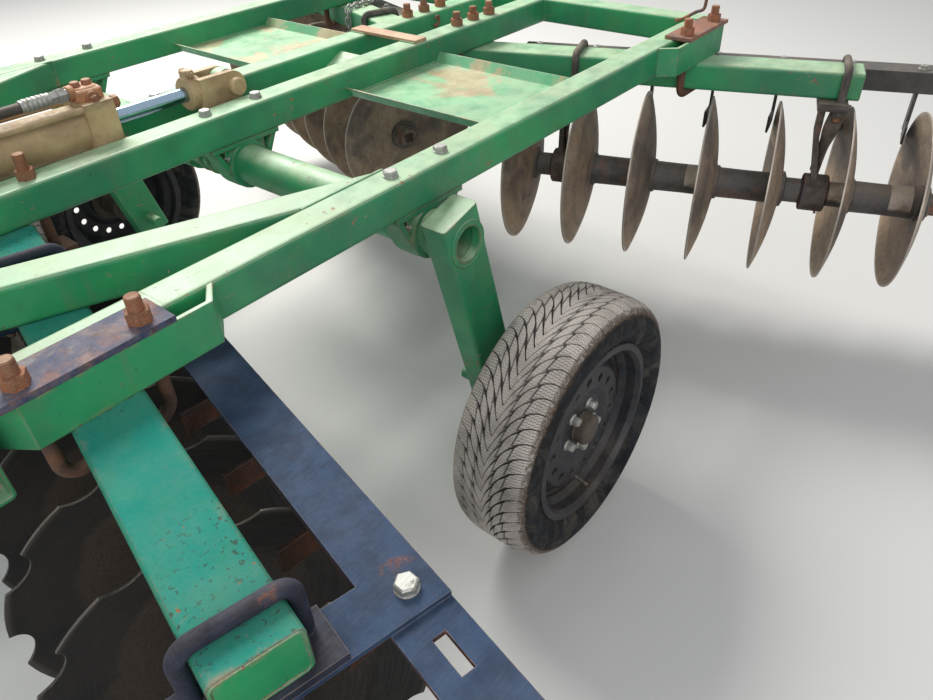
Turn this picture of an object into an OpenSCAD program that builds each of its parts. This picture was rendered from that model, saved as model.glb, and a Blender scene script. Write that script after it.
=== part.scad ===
// Wheel-carried tandem disc harrow with four gangs, two scalloped in front and two plain behind.
// Lengths are millimetres, +X is the way of travel, +Y is left, and the wheels stand on z = 0.
// Places are measured from the lifting shaft and shifted at the end to the middle of the whole length.

/* [Main frame] */
// Side of the square frame tube
rail_w = 70; // [60:1:90]
// Wall of the square frame tube
rail_wall = 5; // [4:0.5:7]
// Height of the frame's top face above the ground
rail_top = 862; // [840:1:900]
// Distance of each outer rail's middle from the middle of the machine
outer_y = 650; // [600:5:720]
// Distance of each centre rail's middle from the middle of the machine
centre_y = 96; // [90:1:110]
// Length of the rails ahead of the lifting shaft
rail_front = 815; // [790:5:860]
// Length of the rails behind the lifting shaft
rail_rear = 1180; // [1160:5:1240]
// Depth of the front cross tube along the machine
cross_d = 100; // [80:5:120]
// Height of the front cross tube
cross_h = 120; // [90:5:140]

/* [Lifting shaft and wheels] */
// Outer diameter of the lifting shaft
shaft_d = 89; // [76:1:102]
// Depth of the lifting shaft's axis under the frame's top face
shaft_drop = 130; // [122:1:150]
// Length of a wheel arm from the shaft to the wheel axle
arm_len = 449; // [420:1:480]
// Angle of the wheel arms behind the vertical in transport
arm_angle = 14.5; // [10:0.5:20]
// Width of a wheel arm seen from the side
arm_w = 100; // [80:5:120]
// Thickness of a wheel arm seen from behind
arm_t = 60; // [50:5:70]
// Distance of a wheel's middle plane from the middle of the machine
wheel_y = 928; // [910:2:980]
// Outer diameter of a tyre
tyre_d = 596; // [570:2:620]
// Width of a tyre
tyre_w = 190; // [175:5:200]
// Diameter of the rim's bead seat
rim_d = 381; // [355:1:400]

/* [Disc gangs] */
// Diameter of a disc
disc_d = 460; // [430:5:480]
// Thickness of a disc
disc_t = 4; // [3:0.5:6]
// Depth of a disc's dish
dish = 42; // [30:1:50]
// Distance between two discs along their axle
pitch = 175; // [165:1:190]
// Height of the gang axles above the ground
axle_z = 480; // [475:1:520]
// Angle of the front gangs
front_angle = 13.2; // [10:0.2:18]
// Angle of the rear gangs
rear_angle = 19.4; // [15:0.2:22]
// Number of scallops in a front disc
notch_count = 10; // [8:1:12]
// Radius of a scallop
notch_r = 36; // [28:1:42]
// Diameter of a spool between two discs
spool_d = 84; // [70:1:95]
// Side of the square gang axle
axle_w = 30; // [25:1:35]
// Width of a gang beam
beam_w = 100; // [80:5:120]
// Height of a gang beam
beam_h = 70; // [60:5:80]
// Diameter of the clamping U-bolts
ubolt_d = 20; // [16:1:22]

/* [Hydraulic cylinder] */
// Outer diameter of the cylinder barrel
barrel_d = 92; // [80:1:100]
// Diameter of the piston rod
rod_d = 32; // [25:1:40]
// Length of the lifting lever from shaft to pin
lever_len = 160; // [150:1:170]
// Angle of the lifting lever behind the vertical in transport
lever_angle = 21; // [15:0.5:25]
// Diameter of the cylinder's pins
pin_d = 25; // [20:1:30]

/* [Drawbar and jack] */
// Distance of the hitch bore ahead of the lifting shaft
hitch_x = 2100; // [1900:10:2300]
// Height of the hitch bore's middle above the ground
hitch_z = 500; // [430:5:540]
// Diameter of the hitch bore
hitch_d = 31; // [26:1:36]
// Side of the drawbar tube
draw_w = 70; // [60:5:80]
// Outer side of the jack's sleeve
sleeve_w = 60; // [56:1:70]
// Distance of the jack ahead of the lifting shaft
jack_x = 1640; // [1500:10:1750]

/* [Hidden] */
$fn = 64;
// Running clearance of a shaft in its bore, on the radius
fit = 0.06;
// Clearance of a bolt in its hole, on the radius
loose = 0.5;
rail_z = rail_top - rail_w / 2;
rail_under = rail_top - rail_w;
shaft_z = rail_top - shaft_drop;
wheel_x = -arm_len * sin(arm_angle);
wheel_z = tyre_d / 2;
arm_out_y = outer_y + rail_w / 2 + 81;
beam_z = rail_under - beam_h / 2;
dish_r = (disc_d * disc_d / 4 + dish * dish) / (2 * dish);
front_x = 563;
front_y = 222;
rear_x = -844;
rear_y = 297;
rear_lead = 85;
bar_back = 170;
rear_bar_back = 124;
bar_w = 80;
bar_t = 8;
nose_x = hitch_x + 40;
bar_over = 60;
tail_x = min(
    rear_x - 6 * pitch * sin(rear_angle) - disc_d / 2 * cos(rear_angle),
    rear_x - (6 * pitch + bar_over - 20) * sin(rear_angle)
        - (rear_lead + rear_bar_back + 40) * cos(rear_angle)
);
mid_x = (nose_x + tail_x) / 2;

// Columns of a gang: side, x and y of its first disc, angle outward and forward, discs, dish side,
// distance of the beam ahead of the axle, gaps that hold a hanger, scalloped or not
GANG_FL = [1, front_x, front_y, front_angle, 7, 1, 0, [0, 5], true];
GANG_FR = [-1, front_x, front_y, front_angle, 7, 1, 0, [0, 5], true];
GANG_RL = [1, rear_x, rear_y, -rear_angle, 7, -1, -rear_lead, [0, 4], false];
GANG_RR = [-1, rear_x + pitch * sin(rear_angle), rear_y - pitch * cos(rear_angle),
    -rear_angle, 8, -1, -rear_lead, [1, 5], false];

paint = "seagreen";
steel = "slategray";
rust = "sienna";
dark = "dimgray";

// Corner points of a rectangle with round corners
function soft(w, h, r, n = 3) = [
    for (c = [[1, 1, 0], [-1, 1, 90], [-1, -1, 180], [1, -1, 270]])
        for (i = [0:n])
            [c[0] * (w / 2 - r) + r * cos(c[2] + 90 * i / n),
             c[1] * (h / 2 - r) + r * sin(c[2] + 90 * i / n)]
];

// Shift of everything to the middle of the machine's length
module place() {
    translate([-mid_x, 0, 0]) children();
}

// Square or rectangular tube from x = 0 to x = length, w across and h high
module tube_x(length, w, h, wall) {
    rotate([90, 0, 90]) linear_extrude(length) difference() {
        polygon(soft(w, h, wall * 1.6));
        polygon(soft(w - 2 * wall, h - 2 * wall, wall * 0.6));
    }
}

module tube_y(length, w, h, wall) {
    translate([0, -length / 2, 0]) rotate([0, 0, 90]) tube_x(length, w, h, wall);
}

module cyl_y(r, length, fn = 64) {
    translate([0, length / 2, 0]) rotate([90, 0, 0]) cylinder(r = r, h = length, $fn = fn);
}

module cyl_x(r, length) {
    rotate([0, 90, 0]) cylinder(r = r, h = length);
}

// Both sides of the machine
module both() {
    for (s = [0, 1]) mirror([0, s, 0]) children();
}

// Stretches of the front and rear centre bolts through a rail
front_bolt_x = front_x - (front_y - centre_y) * tan(front_angle);
rear_bolt_x = rear_x + (rear_y - centre_y) * tan(rear_angle) - rear_lead / cos(rear_angle);
bolt_gap = 75;
REAR_STUDS = [-bolt_gap, 0, bolt_gap];
bearing_bolt = 68;

module rail(y) {
    difference() {
        translate([-rail_rear, y, rail_z]) tube_x(rail_rear + rail_front, rail_w, rail_w, rail_wall);
        children();
    }
}

module outer_rail(side) {
    color(paint) place() rail(side * outer_y);
}

module centre_rail(side) {
    color(paint) place() rail(side * centre_y) {
        for (dx = [-bolt_gap, bolt_gap])
            translate([front_bolt_x + dx, side * centre_y, rail_under - 1])
                cylinder(r = ubolt_d / 2 + loose, h = rail_w + 2);
        for (dx = REAR_STUDS)
            translate([rear_bolt_x + dx, side * centre_y, rail_under - 1])
                cylinder(r = ubolt_d / 2 + loose, h = rail_w + 2);
    }
}

module front_cross_tube() {
    color(paint) place() translate([rail_front + cross_d / 2, 0, rail_top - cross_h / 2])
        tube_y(2 * outer_y + rail_w + 70, cross_d, cross_h, rail_wall);
}

module rear_cross_tube() {
    color(paint) place() translate([-rail_rear - rail_w / 2, 0, rail_z])
        tube_y(2 * outer_y + rail_w, rail_w, rail_w, rail_wall);
}

// Slanting tube from the front cross tube to an outer rail
module brace(side) {
    brace_back = 150;
    brace_y = 350;
    inner = outer_y - rail_w / 2;
    turn = atan2(inner - brace_y, rail_front - brace_back);
    color(paint) place() mirror([0, side < 0 ? 1 : 0, 0]) difference() {
        translate([rail_front, brace_y, rail_z]) rotate([0, 0, 180 - turn])
            translate([-120, 0, 0]) tube_x(1100, rail_w, rail_w, rail_wall);
        translate([rail_front, -500, 0]) cube([500, 2000, 2000]);
        translate([-1000, inner, 0]) cube([3000, 2000, 2000]);
    }
}

// Weight tray between a centre rail and an outer rail, with slanted front and rear lips
module trays() {
    tray_t = 4;
    tray_x = -490;
    tray_l = 320;
    lip = 26;
    lip_out = 22;
    low = rail_under + 4;
    inner = centre_y + rail_w / 2;
    outer = outer_y - rail_w / 2;
    color(paint) place() both() translate([tray_x, outer, low]) rotate([90, 0, 0])
        linear_extrude(outer - inner) polygon([
            [-tray_l / 2, 0], [tray_l / 2, 0], [tray_l / 2 + lip_out, lip],
            [tray_l / 2 + lip_out - tray_t, lip + 1], [tray_l / 2 - tray_t / 2, tray_t],
            [-tray_l / 2 + tray_t / 2, tray_t], [-tray_l / 2 - lip_out + tray_t, lip + 1],
            [-tray_l / 2 - lip_out, lip]
        ]);
}

// Where the gang beams cross under an outer rail's outside pocket
pocket = 35;
pocket_y = outer_y + rail_w / 2 + pocket / 2;
front_clamp_x = front_x + (pocket_y - front_y) * tan(front_angle);
rear_clamp_x = rear_x - (pocket_y - rear_y) * tan(rear_angle) - rear_lead / cos(rear_angle);
clamp_gap = 81;

// Bent plate that makes a pocket for a U-bolt on the outside of a rail
module side_brackets() {
    t = 8;
    bracket_l = 330;
    slant = 30;
    face = outer_y + rail_w / 2;
    color(paint) place() both() for (x = [front_clamp_x - 38, rear_clamp_x + 40])
        translate([x, face, rail_under]) linear_extrude(rail_w) polygon([
            [-bracket_l / 2, 0], [-bracket_l / 2 + slant, pocket + t], [bracket_l / 2 - slant, pocket + t],
            [bracket_l / 2, 0], [bracket_l / 2 - t - 2, 0], [bracket_l / 2 - slant - 6, pocket],
            [-bracket_l / 2 + slant + 6, pocket], [-bracket_l / 2 + t + 2, 0]
        ]);
}

// U-bolt with its legs along Z, the bend under it, over a beam seen along Y
module ubolt(gap, low, high) {
    r = ubolt_d / 2;
    bend = 28;
    for (s = [-1, 1]) {
        translate([s * gap, 0, low + bend]) cylinder(r = r, h = high - low - bend);
        translate([s * (gap - bend), 0, low + bend]) rotate([90, 0, 0])
            rotate([0, 0, s > 0 ? -90 : 180]) rotate_extrude(angle = 90) translate([bend, 0]) circle(r = r);
    }
    translate([-gap + bend, 0, low]) cyl_x(r, 2 * (gap - bend));
}

module nut(r_flat, h, bore) {
    difference() {
        cylinder(r = r_flat / cos(30), h = h, $fn = 6);
        translate([0, 0, -1]) cylinder(r = bore, h = h + 2);
    }
}

// U-bolts, plates and studs that hold the gang beams to the rails
module beam_clamps() {
    plate = 9;
    stud_top = 48;
    nut_h = 18;
    nut_flat = 15;
    plate_len = 2 * clamp_gap + 70;
    color(rust) place() both() {
        for (x = [front_clamp_x, rear_clamp_x]) {
            translate([x, pocket_y, 0])
                ubolt(clamp_gap, rail_under - beam_h - ubolt_d / 2, rail_top + stud_top);
            difference() {
                translate([x - plate_len / 2, pocket_y - 45, rail_top]) cube([plate_len, 72, plate]);
                for (s = [-1, 1]) translate([x + s * clamp_gap, pocket_y, rail_top - 1])
                    cylinder(r = ubolt_d / 2, h = plate + 2);
            }
            for (s = [-1, 1]) translate([x + s * clamp_gap, pocket_y, rail_top + plate])
                nut(nut_flat, nut_h, ubolt_d / 2);
        }
        for (s = [-1, 1]) translate([front_bolt_x + s * bolt_gap, centre_y, rail_under - beam_h - plate])
            translate([0, 0, -nut_h])
            cylinder(r = ubolt_d / 2, h = rail_w + beam_h + plate + nut_h + stud_top);
        translate([front_bolt_x, centre_y, rail_under - beam_h - plate]) difference() {
            translate([-bolt_gap - 30, -30, 0]) cube([2 * bolt_gap + 60, 60, plate]);
            for (s = [-1, 1]) translate([s * bolt_gap, 0, -1]) cylinder(r = ubolt_d / 2, h = plate + 2);
        }
        for (s = [-1, 1]) for (z = [rail_top, rail_under - beam_h - plate - nut_h])
            translate([front_bolt_x + s * bolt_gap, centre_y, z]) nut(nut_flat, nut_h, ubolt_d / 2);
        for (dx = REAR_STUDS) {
            low = dx == 0 ? 0 : 14;
            translate([rear_bolt_x + dx, centre_y, rail_under - low])
                cylinder(r = ubolt_d / 2, h = rail_w + 36 + low);
            translate([rear_bolt_x + dx, centre_y, rail_top]) nut(nut_flat, nut_h, ubolt_d / 2);
            if (dx != 0) translate([rear_bolt_x + dx, centre_y, rail_under - low])
                nut(12, low, ubolt_d / 2);
        }
    }
}

// Slanted plate and flat bar that tie the two centre rails together
module centre_ties() {
    gap = centre_y - rail_w / 2;
    color(paint) place() {
        translate([-450, -gap, rail_z]) rotate([0, 25, 0]) translate([-30, 0, -4])
            cube([70, 2 * gap, 8]);
        translate([-625, -gap - rail_w + 8, rail_top]) cube([45, 2 * (gap + rail_w) - 16, 8]);
    }
}

// Bearing of the lifting shaft under a rail
module bearing(y) {
    wide = 60;
    shell = 10;
    foot = 10;
    strap = 8;
    top = rail_under - shaft_z;
    reach = bearing_bolt + 24;
    out = shaft_d / 2 + shell;
    translate([0, y, shaft_z]) difference() {
        union() {
            translate([-reach, -wide / 2, top - foot]) cube([2 * reach, wide, foot]);
            rotate([90, 0, 0]) translate([0, 0, -wide / 2 + 6]) linear_extrude(wide - 12) difference() {
                polygon([[-reach + 4, top - foot], [reach - 4, top - foot], [out * 0.72, -out * 0.72],
                    [-out * 0.72, -out * 0.72]]);
                polygon([[-reach + 18, top - foot], [reach - 18, top - foot],
                    [out * 0.72 - strap, -out * 0.72 + strap], [-out * 0.72 + strap, -out * 0.72 + strap]]);
            }
            cyl_y(out, wide);
            translate([-out, -wide / 2 + 12, 0]) cube([2 * out, wide - 24, top - foot + 0.5]);
        }
        cyl_y(shaft_d / 2 + fit, wide + 2, 96);
    }
}

module shaft_bearings() {
    color(paint) place() for (y = [-outer_y, -centre_y, centre_y, outer_y]) bearing(y);
}

module lifting_shaft() {
    color(paint) place() translate([0, 0, shaft_z]) difference() {
        cyl_y(shaft_d / 2, 2 * arm_out_y + 4, 96);
        cyl_y(shaft_d / 2 - 7, 2 * arm_out_y + 6, 96);
    }
}

stub_d = 50;
spindle_d = 34;
stub_out = 74;
arm_top = 62;

// Wheel arm with its stub axle, the shaft passing through it
module wheel_arms() {
    wall = 6;
    arm_low = 52;
    color(paint) place() both() translate([0, arm_out_y - arm_t / 2, shaft_z]) difference() {
        union() {
            rotate([0, arm_angle, 0]) difference() {
                translate([0, 0, -arm_len - arm_low]) linear_extrude(arm_len + arm_low + arm_top)
                    polygon(soft(arm_w, arm_t, 8));
                translate([0, 0, -arm_len - arm_low - 1])
                    linear_extrude(arm_len + arm_low + arm_top + 1 - wall)
                    polygon(soft(arm_w - 2 * wall, arm_t - 2 * wall, 4));
            }
            translate([wheel_x, (stub_out - 0) / 2, wheel_z - shaft_z]) cyl_y(stub_d / 2, arm_t + stub_out);
            translate([wheel_x, arm_t / 2 + stub_out / 2, wheel_z - shaft_z])
                cyl_y(spindle_d / 2, 2 * (wheel_y + 28 - arm_out_y) - stub_out);
        }
        cyl_y(shaft_d / 2, 2 * arm_t, 96);
    }
}

lever_x = -lever_len * sin(lever_angle);
lever_z = shaft_z + lever_len * cos(lever_angle);
lever_t = 30;

// Lever that the cylinder pushes, between the centre rails
module lifting_lever() {
    eye = 32;
    color(paint) place() difference() {
        translate([0, 0, shaft_z]) rotate([0, -lever_angle, 0]) union() {
            rotate([90, 0, 0]) translate([0, 0, -lever_t / 2]) linear_extrude(lever_t) polygon([
                [-55, 0], [55, 0], [eye, lever_len], [-eye, lever_len]
            ]);
            translate([0, 0, lever_len]) cyl_y(eye, lever_t);
        }
        translate([0, 0, shaft_z]) cyl_y(shaft_d / 2, lever_t + 2, 96);
    }
}

base_x = 655;
base_z = 890;
rod_turn = atan2(base_z - lever_z, base_x - lever_x);
rod_reach = norm([base_x - lever_x, base_z - lever_z]);
head_at = 420;
barrel_low = 76;

// Children drawn from the base pin along the cylinder, in its direction towards the lever
module along_cylinder() {
    translate([base_x, 0, base_z]) rotate([0, 0, 180]) rotate([0, rod_turn, 0]) children();
}

module cylinder_anchor() {
    ear_t = 16;
    ear_gap = 52;
    ear_r = 34;
    half = centre_y - rail_w / 2;
    color(paint) place() {
        for (s = [-1, 1]) translate([base_x, s * (ear_gap / 2 + ear_t / 2), 0]) rotate([90, 0, 0])
            translate([0, 0, -ear_t / 2]) difference() {
                linear_extrude(ear_t) polygon([
                    [-44, rail_under + 20], [60, rail_under + 20], [ear_r, base_z], [-ear_r, base_z]
                ]);
                translate([0, base_z, -1]) cylinder(r = pin_d / 2, h = ear_t + 2);
            }
        translate([base_x - 60, -half, rail_under + 8]) cube([120, 2 * half, 12]);
        translate([base_x, 0, base_z]) cyl_y(pin_d / 2, ear_gap + 2 * ear_t + 16);
    }
}

module cylinder_barrel() {
    bore = barrel_d / 2 - 9;
    color("tan") place() along_cylinder() difference() {
        union() {
            translate([barrel_low, 0, 0]) cyl_x(barrel_d / 2, head_at - barrel_low);
            translate([head_at - 62, -barrel_d / 2 - 8, -barrel_d / 2 - 8])
                cube([62, barrel_d + 16, barrel_d + 16]);
            translate([barrel_low - 10, -barrel_d / 2 - 8, -barrel_d / 2 - 8])
                cube([50, barrel_d + 16, barrel_d + 16]);
            cyl_y(30, 48);
            translate([0, -24, -26]) cube([barrel_low, 48, 52]);
            for (a = [-1, 1]) for (b = [-1, 1])
                translate([barrel_low, a * (barrel_d / 2 - 2), b * (barrel_d / 2 - 2)])
                    cyl_x(7, head_at - barrel_low + 14);
        }
        translate([barrel_low + 20, 0, 0]) cyl_x(bore, head_at - barrel_low - 60);
        translate([barrel_low + 20, 0, 0]) cyl_x(rod_d / 2 + fit, head_at);
        cyl_y(pin_d / 2 + fit, 60);
    }
}

clevis_l = 105;

module cylinder_rod() {
    color("silver") place() along_cylinder() {
        translate([head_at - 90, 0, 0]) cyl_x(rod_d / 2, rod_reach - head_at + 90 - clevis_l + 30);
        translate([head_at - 90, 0, 0]) cyl_x(barrel_d / 2 - 9 - fit, 40);
    }
}

// Fork on the rod's end: its pin is cut at the fork's inner faces, where the linkage is open
module rod_clevis() {
    ear_t = 18;
    gap = lever_t + 12;
    ear_r = 32;
    color("tan") place() along_cylinder() {
        difference() {
            union() {
                translate([rod_reach - clevis_l, 0, 0]) cyl_x(34, 35);
                for (s = [-1, 1]) translate([0, s * (gap + ear_t) / 2, 0]) {
                    translate([rod_reach, 0, 0]) cyl_y(ear_r, ear_t);
                    translate([rod_reach - clevis_l + 20, -ear_t / 2, -ear_r])
                        cube([clevis_l - 20, ear_t, 2 * ear_r]);
                }
            }
            translate([rod_reach - clevis_l - 1, 0, 0]) cyl_x(rod_d / 2, 31);
        }
        for (s = [-1, 1]) translate([rod_reach, s * (gap / 2 + ear_t + 8), 0]) cyl_y(20, 16);
    }
}

// Wheel: hub, rim and tyre about the Y axis, the outer side towards +Y
face_off = 36;

module wheel_place(side) {
    place() mirror([0, side < 0 ? 1 : 0, 0]) translate([wheel_x, wheel_y, wheel_z]) children();
}

module lathe_y() {
    rotate([-90, 0, 0]) rotate_extrude($fn = 96) children();
}

hub_back = arm_out_y + stub_out + 6 - wheel_y;

module hub(side) {
    hub_r = 68;
    color(dark) wheel_place(side) difference() {
        union() {
            lathe_y() polygon([
                [0, hub_back], [38, hub_back], [46, hub_back + 6], [46, face_off - 14],
                [hub_r, face_off - 12], [hub_r, face_off], [34, face_off], [32, face_off + 26],
                [26, face_off + 32], [0, face_off + 32]
            ]);
        }
        cyl_y(spindle_d / 2 + fit, 68);
        translate([0, hub_back - 10, 0]) cyl_y(spindle_d / 2 + fit, 2 * abs(hub_back));
    }
}

module rim(side) {
    r = rim_d / 2;
    t = 5;
    half = tyre_w * 0.38;
    color("black") wheel_place(side) difference() {
        lathe_y() polygon([
            [r + 15, half + 8], [r + 16, half + 3], [r + 6, half], [r, half - 6], [r, half - 26],
            [r - 20, half - 44], [r - 20, -half + 34], [r, -half + 20], [r, -half + 6], [r + 6, -half],
            [r + 16, -half - 3], [r + 15, -half - 8], [r - 4, -half - 6], [r - t, -half + 22],
            [r - 20 - t, -half + 36], [r - 20 - t, face_off - 22], [r - 52, face_off + 6],
            [96, face_off + 8], [78, face_off], [35, face_off], [35, face_off + t], [76, face_off + t],
            [94, face_off + 8 + t], [r - 50, face_off + 6 + t], [r - 22, face_off - 12],
            [r - t, half - 24], [r - t, half - 2], [r + 1, half + 9]
        ]);
        for (a = [0:24:359]) rotate([0, a, 0]) translate([(96 + r - 52) / 2, face_off, 0]) cyl_y(10, 60, 24);
    }
}

module tyre(side) {
    r = rim_d / 2;
    big = tyre_d / 2;
    w = tyre_w / 2;
    half = tyre_w * 0.38;
    color("darkslategray") wheel_place(side) lathe_y() polygon([
        [r + 0.3, half - 6.3], [r + 6, half - 0.3], [r + 17, half + 2], [r + 40, w - 4], [r + 62, w],
        [big - 36, w - 4], [big - 14, w - 16], [big - 4, w - 32], [big, w - 60], [big, -w + 60],
        [big - 4, -w + 32], [big - 14, -w + 16], [big - 36, -w + 4], [r + 62, -w], [r + 40, -w + 4],
        [r + 17, -half - 2], [r + 6, -half + 0.3], [r + 0.3, -half + 6.3], [r + 0.3, -half + 19],
        [r + 30, -half + 8], [big - 26, -w + 24], [big - 14, -w + 60], [big - 14, w - 60],
        [big - 26, w - 24], [r + 30, half - 8], [r + 0.3, half - 19]
    ]);
}

// Gang: local +Y runs outward along the axle from the first disc's rim plane, local +X forward
module gang_place(g) {
    place() mirror([0, g[0] < 0 ? 1 : 0, 0]) translate([g[1], g[2], axle_z])
        rotate([0, 0, -g[3]]) children();
}

// Place of a disc's flat middle along the axle, on the dished side's back
function hub_y(g, k) = k * pitch - g[5] * dish;

flat_r = 52;

module disc(notched) {
    drop = 1;
    difference() {
        union() {
            intersection() {
                difference() {
                    translate([0, dish_r, 0]) sphere(r = dish_r, $fn = 128);
                    translate([0, dish_r + disc_t, 0]) sphere(r = dish_r, $fn = 128);
                    cyl_y(flat_r - 4, 60);
                }
                translate([0, 50, 0]) cyl_y(disc_d / 2, 120, 96);
            }
            translate([0, drop + disc_t / 2, 0]) cyl_y(flat_r, disc_t);
        }
        cube([axle_w, 40, axle_w], center = true);
        if (notched) for (i = [0:notch_count - 1]) rotate([0, i * 360 / notch_count, 0])
            translate([disc_d / 2 + notch_r * 0.35, 30, 0]) cyl_y(notch_r, 80, 32);
    }
}

module discs(g) {
    color(rust) gang_place(g) for (k = [0:g[4] - 1])
        translate([0, hub_y(g, k), 0]) mirror([0, g[5] < 0 ? 1 : 0, 0]) disc(g[8]);
}

// Spools between the discs, end washers and the square axle through them
module spools(g) {
    r = spool_d / 2;
    thin_r = 33;
    wide = pitch - disc_t;
    first = g[5] > 0 ? disc_t + 1 : -1;
    washer = 14;
    end = 26;
    lo = hub_y(g, 0) + (g[5] > 0 ? 1 : -1 - disc_t) - washer;
    hi = hub_y(g, g[4] - 1) + (g[5] > 0 ? 1 + disc_t : -1) + washer;
    color(dark) gang_place(g) {
        for (k = [0:g[4] - 2]) translate([0, hub_y(g, k) + first, 0]) difference() {
            rotate([-90, 0, 0]) rotate_extrude() polygon(
                search(k, g[7]) == [] ?
                [[0, 0], [flat_r - 5, 0], [flat_r - 5, 7], [r, 10], [r - 1, wide / 2], [r, wide - 10],
                 [flat_r - 5, wide - 7], [flat_r - 5, wide], [0, wide]] :
                [[0, 0], [flat_r - 4, 0], [flat_r - 4, 6], [thin_r, 12], [thin_r, wide / 2 - 36],
                 [axle_w * 0.9, wide / 2 - 36], [axle_w * 0.9, wide / 2 + 36], [thin_r, wide / 2 + 36],
                 [thin_r, wide - 12], [flat_r - 4, wide - 6], [flat_r - 4, wide], [0, wide]]
            );
            translate([-axle_w / 2, -1, -axle_w / 2]) cube([axle_w, wide + 2, axle_w]);
        }
        translate([-axle_w / 2, lo - end, -axle_w / 2]) cube([axle_w, hi - lo + 2 * end, axle_w]);
        for (y = [lo, hi - washer]) translate([0, y + washer / 2, 0]) difference() {
            cyl_y(flat_r - 6, washer);
            cube([axle_w, washer + 2, axle_w], center = true);
        }
    }
}

module beam(g, inner, outer) {
    color(paint) gang_place(g) translate([g[6], inner, beam_z - axle_z])
        rotate([0, 0, 90]) tube_x(outer - inner, beam_w, beam_h, rail_wall);
}

bearing_r = 50;
bearing_w = 56;
clamp_t = 12;
clamp_lo = 60;
clamp_hi = 131;
leg_at = 78;
leg_x = beam_w / 2 + ubolt_d / 2 + 1;
arm_low = beam_z - beam_h / 2 - axle_z - clamp_t - bar_t;

// Gap after disc k: local +Y runs from the flat of the disc that faces it with its dished side
module gap_place(g, k) {
    translate([0, hub_y(g, g[5] > 0 ? k : k + 1), 0]) mirror([0, g[5] > 0 ? 0 : 1, 0]) children();
}

// Flat plate with the two holes of a hanger's U-bolt
module holed_plate(back, front, t) {
    difference() {
        translate([back, clamp_lo, 0]) cube([front - back, clamp_hi - clamp_lo, t]);
        for (s = [-1, 1]) translate([s * leg_x, leg_at, -1]) cylinder(r = ubolt_d / 2, h = t + 2);
    }
}

// Hangers that carry the axle: a clamp plate and U-bolt on the beam, a bowed arm and a bearing
module hangers(g) {
    arm = 14;
    low = beam_z - beam_h / 2 - axle_z;
    r = ubolt_d / 2;
    bend = 20;
    mid = pitch / 2 + 3;
    over = low + beam_h + r + 0.5;
    color(steel) gang_place(g) for (k = g[7]) gap_place(g, k) {
        translate([0, mid, 0]) difference() {
            cyl_y(bearing_r, bearing_w);
            cyl_y(axle_w * 0.9 + fit, bearing_w + 2);
        }
        translate([g[6], 0, 0]) {
            translate([0, 0, low - clamp_t]) holed_plate(-leg_x - 22, leg_x + 22, clamp_t);
            translate([0, leg_at, 0]) {
                for (s = [-1, 1]) {
                    translate([s * leg_x, 0, arm_low - 30]) cylinder(r = r, h = over - bend - arm_low + 30);
                    translate([s * leg_x, 0, arm_low - 18]) nut(15, 18, r);
                    translate([s * (leg_x - bend), 0, over - bend]) rotate([90, 0, 0])
                        rotate([0, 0, s > 0 ? 0 : 90]) rotate_extrude(angle = 90)
                        translate([bend, 0]) circle(r = r);
                }
                translate([-leg_x + bend, 0, over]) cyl_x(r, 2 * (leg_x - bend));
            }
        }
        // Bowed arm beside the scraper arm's edge, down to the bearing
        difference() {
            hull() {
                translate([g[6] - 34, clamp_hi - arm - 12, low - clamp_t - 1]) cube([68, arm, 1.5]);
                translate([g[6] - 20, clamp_hi - arm - 12, low - clamp_t - 90]) cube([64, arm, 1]);
            }
            translate([0, mid, 0]) cyl_y(bearing_r - 1, bearing_w + 2);
        }
        difference() {
            hull() {
                translate([g[6] - 20, clamp_hi - arm - 12, low - clamp_t - 90]) cube([64, arm, 1]);
                translate([0, mid + 7, bearing_r - 12]) cube([62, arm, 2], center = true);
            }
            translate([0, mid, 0]) cyl_y(bearing_r - 1, bearing_w + 2);
        }
    }
}

// Shank with its blade, from the bar's height down beside the dished face of a disc
module shank(length, swing) {
    translate([-14, -4, -length]) cube([28, 8, length]);
    translate([0, 0, -length]) rotate([0, 0, swing]) translate([-14, -3, -14]) cube([84, 6, 46]);
}

// Scraper bars behind the beam, with a shank and blade for each disc
module scrapers(g) {
    front = g[8];
    side = g[5];
    x = g[6] - (front ? bar_back : rear_bar_back);
    n = g[4];
    bar_len = (n - 1) * pitch + 2 * bar_over - 20;
    top = front ? arm_low - 0.3 : beam_z - axle_z - 0.3;
    arm_end = hub_y(g, 5) + clamp_hi;
    flange = 8;
    color(steel) gang_place(g) {
        if (front) {
            translate([x - bar_w / 2, -20, arm_low]) cube([bar_w, arm_end + 20, bar_t]);
            difference() {
                translate([x - bar_w / 2, arm_end - 300, arm_low - bar_t]) cube([bar_w, 490, bar_t]);
                for (y = [arm_end - 120, arm_end + 30]) translate([x - 9, y, arm_low - bar_t - 1])
                    cube([18, 52, bar_t + 2]);
            }
        } else {
            translate([x - 40, -bar_over, beam_z - axle_z]) cube([75, bar_len, flange]);
            translate([x + 35 - flange, -bar_over, arm_low + bar_t])
                cube([flange, bar_len, beam_z - axle_z - arm_low - bar_t + 1]);
        }
        for (k = g[7]) gap_place(g, k) translate([g[6], 0, arm_low]) difference() {
            holed_plate(x - g[6] - 40, leg_x + 22, bar_t);
            translate([-38, clamp_hi - 28, -1]) cube([78, 18, bar_t + 2]);
        }
        for (k = [0:n - 1]) translate([x, hub_y(g, k) + side * 54, top - (front && k > 3 ? bar_t : 0)])
            shank(front ? 112 - (k > 3 ? bar_t : 0) : 160, side * 7);
    }
}

draw_y = 420;
draw_tip = 26;
draw_z = rail_top - cross_h / 2 - 10;
draw_run = hitch_x - 60 - rail_front - cross_d;
draw_turn = atan2(draw_y - draw_tip, draw_run);

// Middle of the left drawbar leg at a distance ahead of the lifting shaft
function leg_y(x) = draw_y - (x - rail_front - cross_d) * tan(draw_turn);
function leg_z(x) = draw_z - (x - rail_front - cross_d) / draw_run * (draw_z - hitch_z);

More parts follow.
